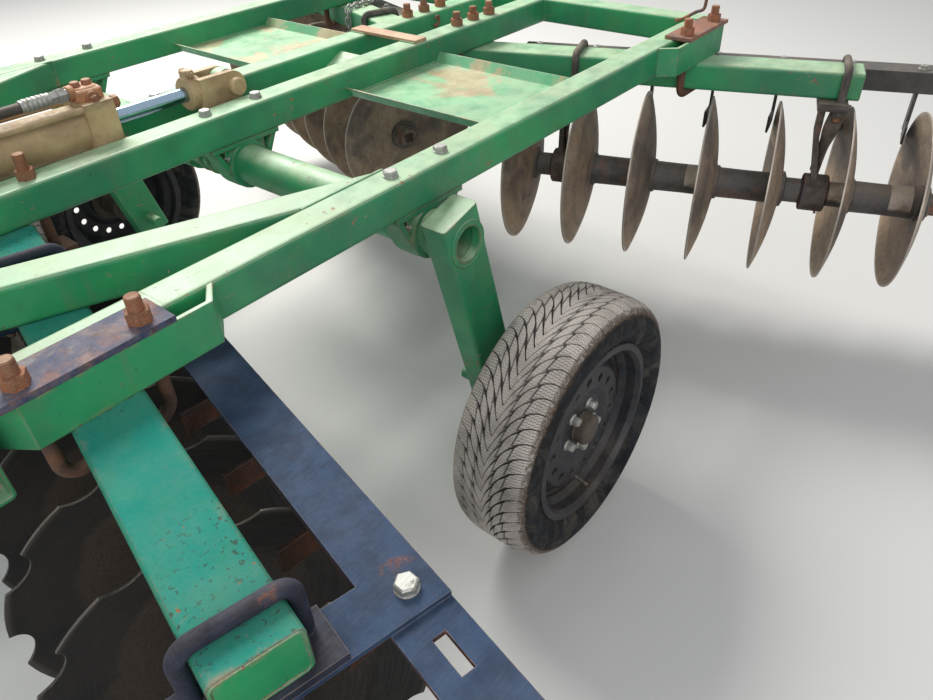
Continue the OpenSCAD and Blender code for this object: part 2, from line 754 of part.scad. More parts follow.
module drawbar_leg(side) {
    dy = draw_y - draw_tip;
    dz = draw_z - hitch_z;
    color(paint) place() mirror([0, side < 0 ? 1 : 0, 0]) difference() {
        translate([rail_front + cross_d, draw_y, draw_z])
            rotate([0, 0, -draw_turn]) rotate([0, atan2(dz, norm([draw_run, dy])), 0])
            translate([-100, 0, 0]) tube_x(norm([draw_run, dy, dz]) + 60, draw_w, draw_w, 6);
        translate([rail_front + cross_d - 400, -1000, 0]) cube([400, 3000, 2000]);
        translate([hitch_x - 700, -1000, 0]) cube([2000, 1000 + 55, 2000]);
    }
}

// Flat bar between the two drawbar legs
tie_x = 1400;

module drawbar_tie() {
    x = tie_x;
    in = draw_w / 2 / cos(draw_turn) + 0.03;
    color(paint) place() translate([0, 0, leg_z(x) - 5]) linear_extrude(10) polygon([
        [x - 35, leg_y(x - 35) - in], [x - 35, in - leg_y(x - 35)],
        [x + 35, in - leg_y(x + 35)], [x + 35, leg_y(x + 35) - in]
    ]);
}

hose_r = 10;
port_z = base_z + barrel_d / 2 + 8;

// Points of a hose: from a port of the cylinder, along the frame and down the drawbar
function hose_run(x, side) = [
    [x, side * 14, port_z + 18],
    [base_x + 50, side * 15, port_z + 18],
    [rail_front - 10, side * 16, rail_top + hose_r + 4],
    [rail_front + cross_d + 20, side * 16, rail_top + hose_r + 4],
    [tie_x + 40, side * 16, leg_z(tie_x) + hose_r + 12],
    [hitch_x - 330, side * 15, hitch_z + 45 + hose_r + 3],
    [hitch_x - 250, side * 15, hitch_z + 45 + hose_r + 3]
];

// Round bar through a list of points, with a slightly larger ball at each turn
module bent_bar(points, r) {
    for (i = [0:len(points) - 2]) {
        d = points[i + 1] - points[i];
        translate(points[i]) rotate([0, atan2(norm([d[0], d[1]]), d[2]), atan2(d[1], d[0])])
            cylinder(r = r, h = norm(d), $fn = 24);
        if (i > 0) translate(points[i]) sphere(r = r + 1.2, $fn = 24);
    }
}

module hoses() {
    color("black") place() {
        bent_bar(hose_run(base_x - head_at + 30, 1), hose_r);
        bent_bar(hose_run(base_x - 62, -1), hose_r);
    }
}

// Couplers at the hoses' ends, in a holder on the hitch
module hose_couplers() {
    color(steel) place() {
        for (s = [-1, 1]) translate([hitch_x - 250, s * 15, hitch_z + 45 + hose_r + 3]) cyl_x(13, 90);
        translate([rail_front + 35, -40, rail_top]) difference() {
            cube([30, 80, 2 * hose_r + 12]);
            for (s = [-1, 1]) translate([-1, 40 + s * 16, hose_r + 4]) cyl_x(hose_r, 32);
        }
        translate([hitch_x - 215, -34, hitch_z + 45]) difference() {
            cube([10, 68, 34]);
            for (s = [-1, 1]) translate([-1, 34 + s * 15, hose_r + 3]) cyl_x(12, 12);
        }
    }
}

module hitch_head() {
    ear = 20;
    gap = 50;
    color(paint) place() difference() {
        union() {
            translate([hitch_x - 330, -55, hitch_z - 45]) cube([290, 110, 90]);
            for (s = [-1, 1]) translate([0, 0, hitch_z + s * (gap + ear) / 2 - ear / 2]) {
                translate([hitch_x, 0, 0]) cylinder(r = 40, h = ear);
                translate([hitch_x - 60, -40, 0]) cube([60, 80, ear]);
            }
        }
        translate([hitch_x, 0, hitch_z - 100]) cylinder(r = hitch_d / 2, h = 200, $fn = 96);
    }
}

jack_y = leg_y(jack_x) + draw_w / 2 + sleeve_w / 2 + 24;
jack_wall = 5;
leg_w = sleeve_w - 2 * jack_wall - 2 * 0.1;

// Square sleeve on the drawbar's left leg, with its bracket
module jack_sleeve() {
    out = draw_w / 2 / cos(draw_turn) + 0.03;
    color(paint) place() {
        translate([jack_x, jack_y, 360]) linear_extrude(420) difference() {
            polygon(soft(sleeve_w, sleeve_w, 7));
            polygon(soft(sleeve_w - 2 * jack_wall, sleeve_w - 2 * jack_wall, 3));
        }
        translate([0, 0, leg_z(jack_x) - 24]) linear_extrude(48) polygon([
            [jack_x - 22, leg_y(jack_x - 22) + out], [jack_x + 22, leg_y(jack_x + 22) + out],
            [jack_x + 22, jack_y - sleeve_w / 2], [jack_x - 22, jack_y - sleeve_w / 2]
        ]);
    }
}

module jack_leg() {
    color(steel) place() translate([jack_x, jack_y, 0]) {
        translate([0, 0, 8]) linear_extrude(480) difference() {
            polygon(soft(leg_w, leg_w, 3));
            polygon(soft(leg_w - 10, leg_w - 10, 1));
        }
        translate([-75, -75, 0]) cube([150, 150, 8]);
    }
}

outer_rail(1);  // outer_rail_left
outer_rail(-1);  // outer_rail_right
centre_rail(1);  // centre_rail_left
centre_rail(-1);  // centre_rail_right
front_cross_tube();
rear_cross_tube();
brace(1);  // brace_left
brace(-1);  // brace_right
trays();
side_brackets();
beam_clamps();
centre_ties();
shaft_bearings();
cylinder_anchor();
hoses();
hose_couplers();
drawbar_leg(1);  // drawbar_left
drawbar_leg(-1);  // drawbar_right
drawbar_tie();
hitch_head();
jack_sleeve();
jack_leg();
lifting_shaft();
wheel_arms();
lifting_lever();
cylinder_barrel();
cylinder_rod();
rod_clevis();
hub(1);  // hub_left
rim(1);  // rim_left
tyre(1);  // tyre_left
hub(-1);  // hub_right
rim(-1);  // rim_right
tyre(-1);  // tyre_right
beam(GANG_FL, -110, 955);  // beam_front_left
hangers(GANG_FL);  // hangers_front_left
scrapers(GANG_FL);  // scrapers_front_left
discs(GANG_FL);  // discs_front_left
spools(GANG_FL);  // spools_front_left
beam(GANG_FR, -110, 955);  // beam_front_right
hangers(GANG_FR);  // hangers_front_right
scrapers(GANG_FR);  // scrapers_front_right
discs(GANG_FR);  // discs_front_right
spools(GANG_FR);  // spools_front_right
beam(GANG_RL, -240, 880);  // beam_rear_left
hangers(GANG_RL);  // hangers_rear_left
scrapers(GANG_RL);  // scrapers_rear_left
discs(GANG_RL);  // discs_rear_left
spools(GANG_RL);  // spools_rear_left
beam(GANG_RR, -240 + pitch, 880 + pitch);  // beam_rear_right
hangers(GANG_RR);  // hangers_rear_right
scrapers(GANG_RR);  // scrapers_rear_right
discs(GANG_RR);  // discs_rear_right
spools(GANG_RR);  // spools_rear_right
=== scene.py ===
"""Looks of a tandem disc harrow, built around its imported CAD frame.

Lengths in the classes are millimetres, measured as on the machine: X forward from the lifting
shaft, Y to the left from the middle, Z up from the ground. `Origin.point` turns them into the
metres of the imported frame. Lengths in the finishes are metres.
"""
import logging
import math
from dataclasses import dataclass
from enum import Enum
from functools import cache

import bpy
import numpy as np
from mathutils import Matrix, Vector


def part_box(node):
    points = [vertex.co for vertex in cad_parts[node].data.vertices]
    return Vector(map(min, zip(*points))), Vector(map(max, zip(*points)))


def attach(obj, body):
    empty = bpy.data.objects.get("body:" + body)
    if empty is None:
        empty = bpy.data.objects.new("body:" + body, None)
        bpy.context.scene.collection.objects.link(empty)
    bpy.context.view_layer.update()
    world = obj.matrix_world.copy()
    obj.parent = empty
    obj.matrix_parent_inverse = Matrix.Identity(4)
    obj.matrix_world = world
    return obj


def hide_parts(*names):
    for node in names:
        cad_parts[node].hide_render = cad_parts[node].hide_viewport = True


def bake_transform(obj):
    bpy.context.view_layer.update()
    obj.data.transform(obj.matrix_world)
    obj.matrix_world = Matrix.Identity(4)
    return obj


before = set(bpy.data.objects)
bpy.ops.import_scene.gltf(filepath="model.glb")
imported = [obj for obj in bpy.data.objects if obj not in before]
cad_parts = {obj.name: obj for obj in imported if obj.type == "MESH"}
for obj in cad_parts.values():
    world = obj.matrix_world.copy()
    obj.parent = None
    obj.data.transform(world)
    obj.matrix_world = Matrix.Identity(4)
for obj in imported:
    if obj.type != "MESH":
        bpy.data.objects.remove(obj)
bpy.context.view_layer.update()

log = logging.getLogger("disc_harrow")
logging.basicConfig(level=logging.INFO, format="%(message)s")

Points = np.ndarray | list
SIDES = (-1, 1)
ALONG_X, ALONG_Y, ALONG_Z = (1, 0, 0), (0, 1, 0), (0, 0, 1)


# ---------------------------------------------------------------- shapes

@dataclass
class Shell:
    """A surface: its points and its faces, each face a row of point numbers."""

    points: np.ndarray
    faces: list

    def moved(self, matrix: np.ndarray) -> "Shell":
        """The shell carried by a 4x4 matrix, its faces turned round where that mirrors.

        Args:
            matrix: 4x4 matrix of the move.

        Returns:
            The moved shell.
        """
        points = self.points @ matrix[:3, :3].T + matrix[:3, 3]
        mirrored = np.linalg.det(matrix[:3, :3]) < 0
        return Shell(points, [f[::-1] for f in self.faces] if mirrored else self.faces)

    def at(self, origin: tuple, z_axis: tuple = ALONG_Z, x_hint: tuple = ALONG_X) -> "Shell":
        """The shell with its Z laid along `z_axis` at `origin`, as `basis` says."""
        return self.moved(basis(origin, z_axis, x_hint))

    def both_sides(self) -> "Shell":
        """The shell and its mirror image across the machine's middle plane."""
        return joined([self, self.moved(MIRROR_Y)])


def joined(shells: list[Shell]) -> Shell:
    """One shell from several, each one's face numbers raised by the points before it.

    Args:
        shells: the shells, in order.

    Returns:
        The one shell.
    """
    starts = np.cumsum([0] + [len(s.points) for s in shells[:-1]])
    faces = [f + n for s, n in zip(shells, starts) for f in s.faces]
    return Shell(np.concatenate([s.points for s in shells]), faces)


def woven(rows: np.ndarray, closed: bool = False) -> Shell:
    """Tube over a grid of points: face (i, j) joins rows i and i+1 at columns j and j+1.

    Args:
        rows: points of the grid, rows x columns x 3; the last column joins the first.
        closed: whether the last row joins the first; if not, one face fills each end.

    Returns:
        The skin, facing outwards where columns run anticlockwise seen against the row direction.
    """
    m, n = rows.shape[:2]
    i, j = np.arange(m if closed else m - 1)[:, None], np.arange(n)[None, :]
    a, b = i * n + j, i * n + (j + 1) % n
    c, d = (i + 1) % m * n + (j + 1) % n, (i + 1) % m * n + j
    faces = list(np.stack([a, b, c, d], -1).reshape(-1, 4))
    if not closed:
        faces += [np.arange(n)[::-1], np.arange(n) + (m - 1) * n]
    return Shell(rows.reshape(-1, 3), faces)


def circle(radius: float, count: int = 24, turn: float = 0.0) -> np.ndarray:
    """Points r (cos t, sin t) at equal steps of t, starting at `turn` radians."""
    t = np.arange(count) * 2 * math.pi / count + turn
    return radius * np.stack([np.cos(t), np.sin(t)], -1)


def hexagon(flat: float, turn: float = 0.0) -> np.ndarray:
    """Hexagon with its flats at distance `flat` from the middle."""
    return circle(flat / math.cos(math.pi / 6), 6, turn)


def loop(centre: tuple, radius: float, count: int, x: tuple, y: tuple) -> np.ndarray:
    """Circle in space: centre + r (cos t x + sin t y), at `count` equal steps of t."""
    return circle(radius, count) @ np.array([x, y], float) + np.array(centre, float)


def rounded(width: float, height: float, radius: float, steps: int = 3) -> np.ndarray:
    """Rectangle with round corners: quarter circles about the four inner corners.

    Args:
        width: size along the first axis.
        height: size along the second axis.
        radius: radius of the corners.
        steps: pieces of each quarter circle.

    Returns:
        The outline, anticlockwise.
    """
    t = np.linspace(0, math.pi / 2, steps + 1)
    corners = [(1, 1, 0.0), (-1, 1, 0.5), (-1, -1, 1.0), (1, -1, 1.5)]
    return np.concatenate([
        np.stack([sx * (width / 2 - radius) + radius * np.cos(t + q * math.pi),
                  sy * (height / 2 - radius) + radius * np.sin(t + q * math.pi)], -1)
        for sx, sy, q in corners])


def stacked(layers: list[tuple[np.ndarray, float]]) -> Shell:
    """Flat outlines of as many points, each at its height, joined from the first to the last."""
    return woven(np.stack([np.column_stack([o, np.full(len(o), z)]) for o, z in layers]))


def prism(outline: np.ndarray, low: float, high: float, chamfer: float) -> Shell:
    """Outline carried along Z, drawn in towards its middle by the chamfer at both ends.

    Args:
        outline: n x 2 points, anticlockwise.
        low: height of the bottom.
        high: height of the top.
        chamfer: how far both edges are broken.

    Returns:
        The closed prism.
    """
    inner = outline * (1 - chamfer / np.abs(outline).max())
    return stacked([(inner, low), (outline, low + chamfer), (outline, high - chamfer),
                    (inner, high)])


def lathe(profile: list[tuple[float, float]], count: int = 32, closed: bool = False) -> Shell:
    """Profile of (radius, height) turned about Z: x = r cos t, y = r sin t, z = h.

    Args:
        profile: points of the profile, going up on the outside.
        count: steps of the turn.
        closed: whether the profile's end joins its start, as for a ring.

    Returns:
        The turned body, its ends filled.
    """
    p = np.array(profile, float)
    return woven(np.concatenate([p[:, None, :1] * circle(1.0, count)[None], np.broadcast_to(
        p[:, None, 1:], (len(p), count, 1))], -1), closed)


def swept(path: np.ndarray, radius: float, count: int = 8, up: tuple = ALONG_Z,
          closed: bool = False, scale: np.ndarray | float = 1.0) -> Shell:
    """Round wire along a path: point = path + s r (cos t side + sin t rise) at each station.

    Side is tangent x up and rise is side x tangent, both of unit length.

    Args:
        path: m x 3 stations.
        radius: radius r of the wire.
        count: steps of the turn t.
        up: direction that is never along the path.
        closed: whether the path is a loop.
        scale: share s of the radius at each station.

    Returns:
        The wire, its ends filled.
    """
    outline = circle(radius, count)
    ahead = np.roll(path, -1, 0) - np.roll(path, 1, 0)
    if not closed:
        ahead[0], ahead[-1] = path[1] - path[0], path[-1] - path[-2]
    ahead /= np.linalg.norm(ahead, axis=1, keepdims=True)
    side = np.cross(ahead, np.array(up, float))
    side /= np.linalg.norm(side, axis=1, keepdims=True)
    rise = np.cross(side, ahead)
    size = np.broadcast_to(np.asarray(scale, float), (len(path),))[:, None, None]
    shell = woven(path[:, None] + size * (outline[None, :, :1] * side[:, None]
                                          + outline[None, :, 1:] * rise[:, None]), closed)
    return Shell(shell.points, [f[::-1] for f in shell.faces])


def smooth_path(knots: Points, steps: int = 8) -> np.ndarray:
    """Catmull-Rom curve through the knots: each span is the cubic of its four nearest knots.

    Args:
        knots: k x 3 points.
        steps: stations in each span.

    Returns:
        Stations of the curve, from the first knot to the last.
    """
    knots = np.array(knots)
    k = np.concatenate([2 * knots[:1] - knots[1:2], knots, 2 * knots[-1:] - knots[-2:-1]])
    t = (np.arange(steps) / steps)[None, :, None]
    a, b, c, d = (k[i:len(k) - 3 + i, None] for i in range(4))
    curve = 0.5 * (2 * b + (c - a) * t + (2 * a - 5 * b + 4 * c - d) * t ** 2
                   + (3 * b - a - 3 * c + d) * t ** 3)
    return np.concatenate([curve.reshape(-1, 3), knots[-1:]])


def basis(origin: tuple, z_axis: tuple, x_hint: tuple = ALONG_X) -> np.ndarray:
    """Right-handed 4x4 matrix whose Z is `z_axis` and whose X is as near `x_hint` as can be.

    A Z along the hint takes X from the next axis instead.

    Args:
        origin: where the local origin goes.
        z_axis: direction of the local Z.
        x_hint: direction that the local X leans to.

    Returns:
        The matrix.
    """
    z = np.array(z_axis, float) / np.linalg.norm(z_axis)
    x = np.array(x_hint, float) - np.dot(x_hint, z) * z
    if np.linalg.norm(x) < 1e-6:
        x = np.roll(z, 1)
    x /= np.linalg.norm(x)
    out = shift(*origin)
    out[:3, :3] = np.stack([x, np.cross(z, x), z], -1)
    return out


def shift(x: float = 0.0, y: float = 0.0, z: float = 0.0) -> np.ndarray:
    """4x4 matrix of a move by (x, y, z).

    Args:
        x: move along X.
        y: move along Y.
        z: move along Z.

    Returns:
        The matrix.
    """
    out = np.eye(4)
    out[:3, 3] = (x, y, z)
    return out


MIRROR_Y = np.diag([1.0, -1.0, 1.0, 1.0])


def distance_run(path: np.ndarray) -> np.ndarray:
    """Distance run along a path at each of its points."""
    return np.concatenate([[0], np.cumsum(np.linalg.norm(np.diff(path, axis=0), axis=1))])


def bolt_head(flat: float, height: float, washer: float) -> Shell:
    """Hexagon head with a round-cornered top on a washer, standing on z = 0 along Z.

    Args:
        flat: half the width across the flats.
        height: height of the head above the washer.
        washer: radius of the washer.

    Returns:
        The head and its washer.
    """
    hexa, disc = hexagon(flat, 0.3), circle(flat * 0.97, 6, 0.3)
    head = stacked([(hexa, 2.6), (hexa, 2.6 + height * 0.78), (disc, 2.6 + height)])
    return joined([head, lathe([(washer - 0.7, -0.6), (washer, 0.3), (washer, 2.0),
                                (washer - 0.8, 2.7)], 24)])


def nipple(flat: float, foot: float, neck: list[tuple[float, float]], count: int) -> Shell:
    """Grease nipple: a hexagon foot from 2 under z = 0 up to `foot`, with a ball on a neck."""
    return joined([prism(hexagon(flat), -2.0, foot, 0.6), lathe(neck, count)])


def stud_end(radius: float, low: float, high: float, pitch: float = 2.5) -> Shell:
    """Threaded end of a bolt: radius swings by the thread's depth with height minus turn.

    r = R + 0.1 + 1.3 |2 frac(h / p - t / 2 pi) - 1|, with h the height and t the turn.

    Args:
        radius: radius at the thread's root.
        low: where the thread starts.
        high: where it ends; the last millimetre and a half is drawn in.
        pitch: height of one turn.

    Returns:
        The threaded end along Z.
    """
    count = 16
    heights = np.arange(low, high - 1.5, pitch / 4)
    wave = np.abs(2 * np.mod(heights[:, None] / pitch - np.arange(count)[None] / count, 1.0) - 1)
    ring = circle(1.0, count)
    rows = np.concatenate([(radius + 0.1 + 1.3 * wave)[..., None] * ring[None],
                           np.broadcast_to(heights[:, None, None], (len(heights), count, 1))], -1)
    top = np.concatenate([ring * (radius - 1.4), np.full((count, 1), high)], -1)[None]
    return woven(np.concatenate([rows, top]))


def weld_bead(path: Points, radius: float, up: tuple = ALONG_Z, closed: bool = False) -> Shell:
    """Weld along a path: a round bead whose size swells with each scale of the weld.

    s = 1 + 0.13 sin(2 pi d / 7) + 0.06 sin(2 pi d / 31), with d the distance run in millimetres.

    Args:
        path: corners of the weld.
        radius: radius of the bead.
        up: direction that is never along the path.
        closed: whether the weld goes all round.

    Returns:
        The bead.
    """
    path = np.array(path)
    legs = np.diff(np.concatenate([path, path[:1]]) if closed else path, axis=0)
    count = np.maximum(2, (np.linalg.norm(legs, axis=1) / 3.5).astype(int))
    stations = np.concatenate([
        p + leg * (np.arange(n)[:, None] / n) for p, leg, n in zip(path, legs, count)]
        + ([] if closed else [path[-1:]]))
    turn = distance_run(stations) * 2 * math.pi
    return swept(stations, radius, 7, up, closed, 1 + 0.13 * np.sin(turn / 7)
                 + 0.06 * np.sin(turn / 31))


# ---------------------------------------------------------------- frame and pieces

class Origin:
    """Where the machine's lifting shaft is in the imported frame."""

    low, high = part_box("lifting_shaft")
    shaft_x = (low.x + high.x) / 2

    @classmethod
    def metres(cls, points: np.ndarray) -> np.ndarray:
        """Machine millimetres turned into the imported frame's metres."""
        return np.asarray(points, float) * 0.001 + np.array([cls.shaft_x, 0.0, 0.0])

    @classmethod
    def point(cls, x: float, y: float, z: float) -> tuple:
        """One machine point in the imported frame's metres."""
        return tuple(cls.metres(np.array([x, y, z])))


class Body(Enum):
    """CAD bodies that a piece can ride on."""

    FRAME = "frame"
    SHAFT = "lift_shaft"
    BARREL = "lift_barrel"
    ROD = "lift_rod"
    WHEEL_LEFT = "wheel_left"
    WHEEL_RIGHT = "wheel_right"
    FRONT_LEFT = "gang_front_left"
    FRONT_RIGHT = "gang_front_right"
    REAR_LEFT = "gang_rear_left"
    REAR_RIGHT = "gang_rear_right"


def mesh_object(name: str, shell: Shell, material: bpy.types.Material) -> bpy.types.Object:
    """Object in the scene from a shell in machine millimetres, at the origin and unturned.

    Args:
        name: name of the object and its mesh.
        shell: its faces.
        material: its only material.

    Returns:
        The object.
    """
    mesh = bpy.data.meshes.new(name)
    mesh.from_pydata(Origin.metres(shell.points).tolist(), [], [f.tolist() for f in shell.faces])
    mesh.materials.append(material)
    made = bpy.data.objects.new(name, mesh)
    bpy.context.scene.collection.objects.link(made)
    return made


# ---------------------------------------------------------------- shader building

@dataclass(frozen=True)
class Field:
    """A shader value that is reckoned with: every step adds a node to the value's own tree."""

    socket: bpy.types.NodeSocket

    def step(self, operation: str, other: "Value" = 0.0, turned: bool = False) -> "Field":
        """One arithmetic step on this value and another, or the other way round if turned."""
        first, second = (other, self) if turned else (self, other)
        return add_node(self.socket.id_data, "Math", {0: first, 1: second}, operation=operation)

    def __add__(self, other: "Value") -> "Field":
        """Sum."""
        return self.step("ADD", other)

    def __radd__(self, other: float) -> "Field":
        """Sum with a number in front."""
        return self.step("ADD", other, True)

    def __sub__(self, other: "Value") -> "Field":
        """Difference."""
        return self.step("SUBTRACT", other)

    def __rsub__(self, other: float) -> "Field":
        """Difference from a number."""
        return self.step("SUBTRACT", other, True)

    def __mul__(self, other: "Value") -> "Field":
        """Product."""
        return self.step("MULTIPLY", other)

    def __truediv__(self, other: "Value") -> "Field":
        """Quotient."""
        return self.step("DIVIDE", other)

    def __abs__(self) -> "Field":
        """Size without the sign."""
        return self.step("ABSOLUTE")

    def most(self, other: "Value") -> "Field":
        """Larger of two values."""
        return self.step("MAXIMUM", other)

    def ramp(self, low: float, high: float, start: float = 0.0, end: float = 1.0) -> "Field":
        """Smooth step of the value from `low` to `high`, giving `start` to `end`.

        Args:
            low: value at which the step starts.
            high: value at which it ends.
            start: result below it.
            end: result above it.

        Returns:
            The stepped field.
        """
        return add_node(self.socket.id_data, "MapRange",
                        {0: self, 1: low, 2: high, 3: start, 4: end},
                        interpolation_type="SMOOTHSTEP")

    def noise(self, scale: float, detail: float = 4.0, rough: float = 0.55,
              twist: float = 0.0) -> "Field":
        """Cloud noise over these coordinates, at a scale given per metre.

        Args:
            scale: cells per metre.
            detail: octaves.
            rough: share of each finer octave.
            twist: how far the cloud is drawn out of shape.

        Returns:
            The cloud, about 0 to 1.
        """
        return add_node(self.socket.id_data, "TexNoise",
                        {"Vector": self, "Scale": scale, "Detail": detail, "Roughness": rough,
                         "Distortion": twist})

    def stretched(self, scale: tuple, turn: tuple = (0.0, 0.0, 0.0)) -> "Field":
        """These coordinates turned and then scaled by axis."""
        return add_node(self.socket.id_data, "Mapping", {0: self, 2: turn, 3: scale})

    def packed(self, x: "Value", y: "Value", z: "Value") -> "Field":
        """Vector of three values in this value's tree."""
        return add_node(self.socket.id_data, "CombineXYZ", {0: x, 1: y, 2: z})

    def parts(self) -> list["Field"]:
        """The x, y and z of a vector."""
        first = add_node(self.socket.id_data, "SeparateXYZ", {0: self})
        return [Field(output) for output in first.socket.node.outputs]

    def group(self, tree: bpy.types.NodeTree, **inputs: "Value") -> dict[str, "Field"]:
        """Outputs by name of a node group over these coordinates, placed with its own values."""
        first = add_node(self.socket.id_data, "Group", {"Vector": self, **inputs}, node_tree=tree)
        return {o.name: Field(o) for o in first.socket.node.outputs}


Value = Field | float | tuple


def feed(target: bpy.types.NodeSocket, value: Value) -> None:
    """Links a field to an input, or sets the input's plain value.

    Args:
        target: the input.
        value: field, number, colour or vector.
    """
    if isinstance(value, Field):
        target.id_data.links.new(value.socket, target)
    else:
        target.default_value = value


def add_node(tree: bpy.types.NodeTree, kind: str, inputs: dict | None = None,
             out: int | str = 0, **settings: object) -> Field:
    """Adds one node to a tree.

    Args:
        tree: the tree.
        kind: the node's type name without its ShaderNode prefix.
        inputs: input index or name to field or plain value.
        out: which output to give back.
        settings: properties of the node.

    Returns:
        The chosen output.
    """
    made = tree.nodes.new("ShaderNode" + kind)
    for key, value in settings.items():
        setattr(made, key, value)
    for key, value in (inputs or {}).items():
        feed(made.inputs[key], value)
    return Field(made.outputs[out])


def mixed(amount: Value, a: Value, b: Value) -> Field:
    """Colour b laid over colour a by an amount, one of them at least a field."""
    tree = next(v for v in (amount, a, b) if isinstance(v, Field)).socket.id_data
    return add_node(tree, "Mix", {0: amount, 6: a, 7: b}, out=2, data_type="RGBA")


def upward(where: Field) -> Field:
    """How far the surface looks up: the z of its normal."""
    return add_node(where.socket.id_data, "NewGeometry", out="Normal").parts()[2]


def rgb(red: int, green: int, blue: int) -> tuple:
    """Display colour 0 to 255 as a linear colour: ((c + 0.055) / 1.055) ^ 2.4 above 0.04.

    Args:
        red: red, 0 to 255.
        green: green, 0 to 255.
        blue: blue, 0 to 255.

    Returns:
        The linear colour with an alpha of 1.
    """
    c = np.array([red, green, blue]) / 255
    linear = np.where(c <= 0.04045, c / 12.92, ((c + 0.055) / 1.055) ** 2.4)
    return (*map(float, linear), 1.0)


def new_group(name: str, inputs: dict, outputs: dict) -> tuple[dict, dict]:
    """Starts a shader group over coordinates named Vector.

    Args:
        name: name of the group.
        inputs: further input name to its default.
        outputs: name to socket kind.

    Returns:
        Its inputs as fields and its output sockets, both by name.
    """
    tree = bpy.data.node_groups.new(name, "ShaderNodeTree")
    tree.interface.new_socket("Vector", in_out="INPUT", socket_type="NodeSocketVector")
    for key, value in inputs.items():
        tree.interface.new_socket(key, in_out="INPUT",
                                  socket_type="NodeSocketFloat").default_value = value
    for key, kind in outputs.items():
        tree.interface.new_socket(key, in_out="OUTPUT", socket_type="NodeSocket" + kind)
    source, sink = tree.nodes.new("NodeGroupInput"), tree.nodes.new("NodeGroupOutput")
    return {o.name: Field(o) for o in source.outputs}, sink.inputs


def edge_group() -> bpy.types.NodeTree:
    """Worn edges: 1 minus the dot of the rounded and the flat normal, broken up by noise.

    Returns:
        The node group.
    """
    given, sink = new_group("worn_edges", {"Radius": 0.004, "Low": 0.02, "High": 0.2},
                            {"Mask": "Float", "Normal": "Vector"})
    tree = sink["Mask"].id_data
    soft = add_node(tree, "Bevel", {"Radius": given["Radius"]}, samples=4)
    flat = add_node(tree, "NewGeometry", out="Normal")
    dot = add_node(tree, "VectorMath", {0: soft, 1: flat}, out="Value", operation="DOT_PRODUCT")
    broken = (1.0 - dot) * given["Vector"].noise(45.0, 5.0, 0.65).ramp(0.3, 0.7, 0.15, 2.2)
    feed(sink["Mask"], add_node(tree, "MapRange", {0: broken, 1: given["Low"], 2: given["High"]}))
    feed(sink["Normal"], soft)
    return tree


def rust_group() -> bpy.types.NodeTree:
    """Rust: orange, brown and pale bloom mixed by three clouds, with a height for its crust.

    Returns:
        The node group.
    """
    given, sink = new_group("rust", {"Pale": 0.3}, {"Color": "Color", "Height": "Float"})
    where = given["Vector"]
    mid, fine = where.noise(70.0, 6.0, 0.7), where.noise(420.0, 3.0, 0.7)
    orange = mixed(mid.ramp(0.35, 0.65), rgb(92, 52, 36), rgb(172, 92, 50))
    tone = mixed(where.noise(14.0, 5.0).ramp(0.4, 0.62), orange, rgb(78, 52, 42))
    feed(sink["Color"], mixed(fine.ramp(0.42, 0.66) * given["Pale"], tone, rgb(186, 146, 122)))
    feed(sink["Height"], mid * 0.6 + fine * 0.4)
    return sink["Color"].id_data


def dust_group() -> bpy.types.NodeTree:
    """Dust: lies where the surface looks up, thinned by a cloud, with some caught elsewhere.

    Returns:
        The node group.
    """
    given, sink = new_group("dust", {"Amount": 0.5, "Side": 0.2}, {"Mask": "Float"})
    where, tree = given["Vector"], sink["Mask"].id_data
    caught = (upward(where).ramp(0.15, 0.95) * given["Amount"]).most(given["Side"])
    cloud = where.noise(11.0, 6.0, 0.62) * 0.75 + where.noise(160.0, 3.0) * 0.25
    feed(sink["Mask"], add_node(tree, "Clamp", {0: caught * cloud.ramp(0.34, 0.66, 0.25, 1.2)}))
    return tree


EDGES, RUST, DUST = edge_group(), rust_group(), dust_group()


@dataclass(frozen=True)
class Surface:
    """What a finish feeds to its shader; `deep` is how deep a height of 1 is, in metres."""

    color: Value
    rough: Value
    metal: Value
    height: Value
    deep: float
    normal: Value | None = None


@dataclass(frozen=True)
class Finish:
    """A material: its name and the settings that are the same all over it."""

    name: str
    specular: float = 0.5

    def surface(self, where: Field) -> Surface:
        """What the shader is fed over object coordinates; each finish has its own."""
        raise NotImplementedError

    @cache
    def make(self) -> bpy.types.Material:
        """The finished material, made at the first call.

        Returns:
            The material.
        """
        made = bpy.data.materials.new(self.name)
        made.use_nodes = True
        tree = made.node_tree
        tree.nodes.clear()
        look = self.surface(add_node(tree, "TexCoord", out="Object"))
        bump = {"Height": look.height, "Distance": look.deep, "Strength": 1.0}
        if look.normal is not None:
            bump["Normal"] = look.normal
        shader = add_node(tree, "BsdfPrincipled", {
            "Specular IOR Level": self.specular, "Base Color": look.color,
            "Roughness": look.rough, "Metallic": look.metal,
            "Normal": add_node(tree, "Bump", bump)})
        tree.links.new(shader.socket, tree.nodes.new("ShaderNodeOutputMaterial").inputs[0])
        return made


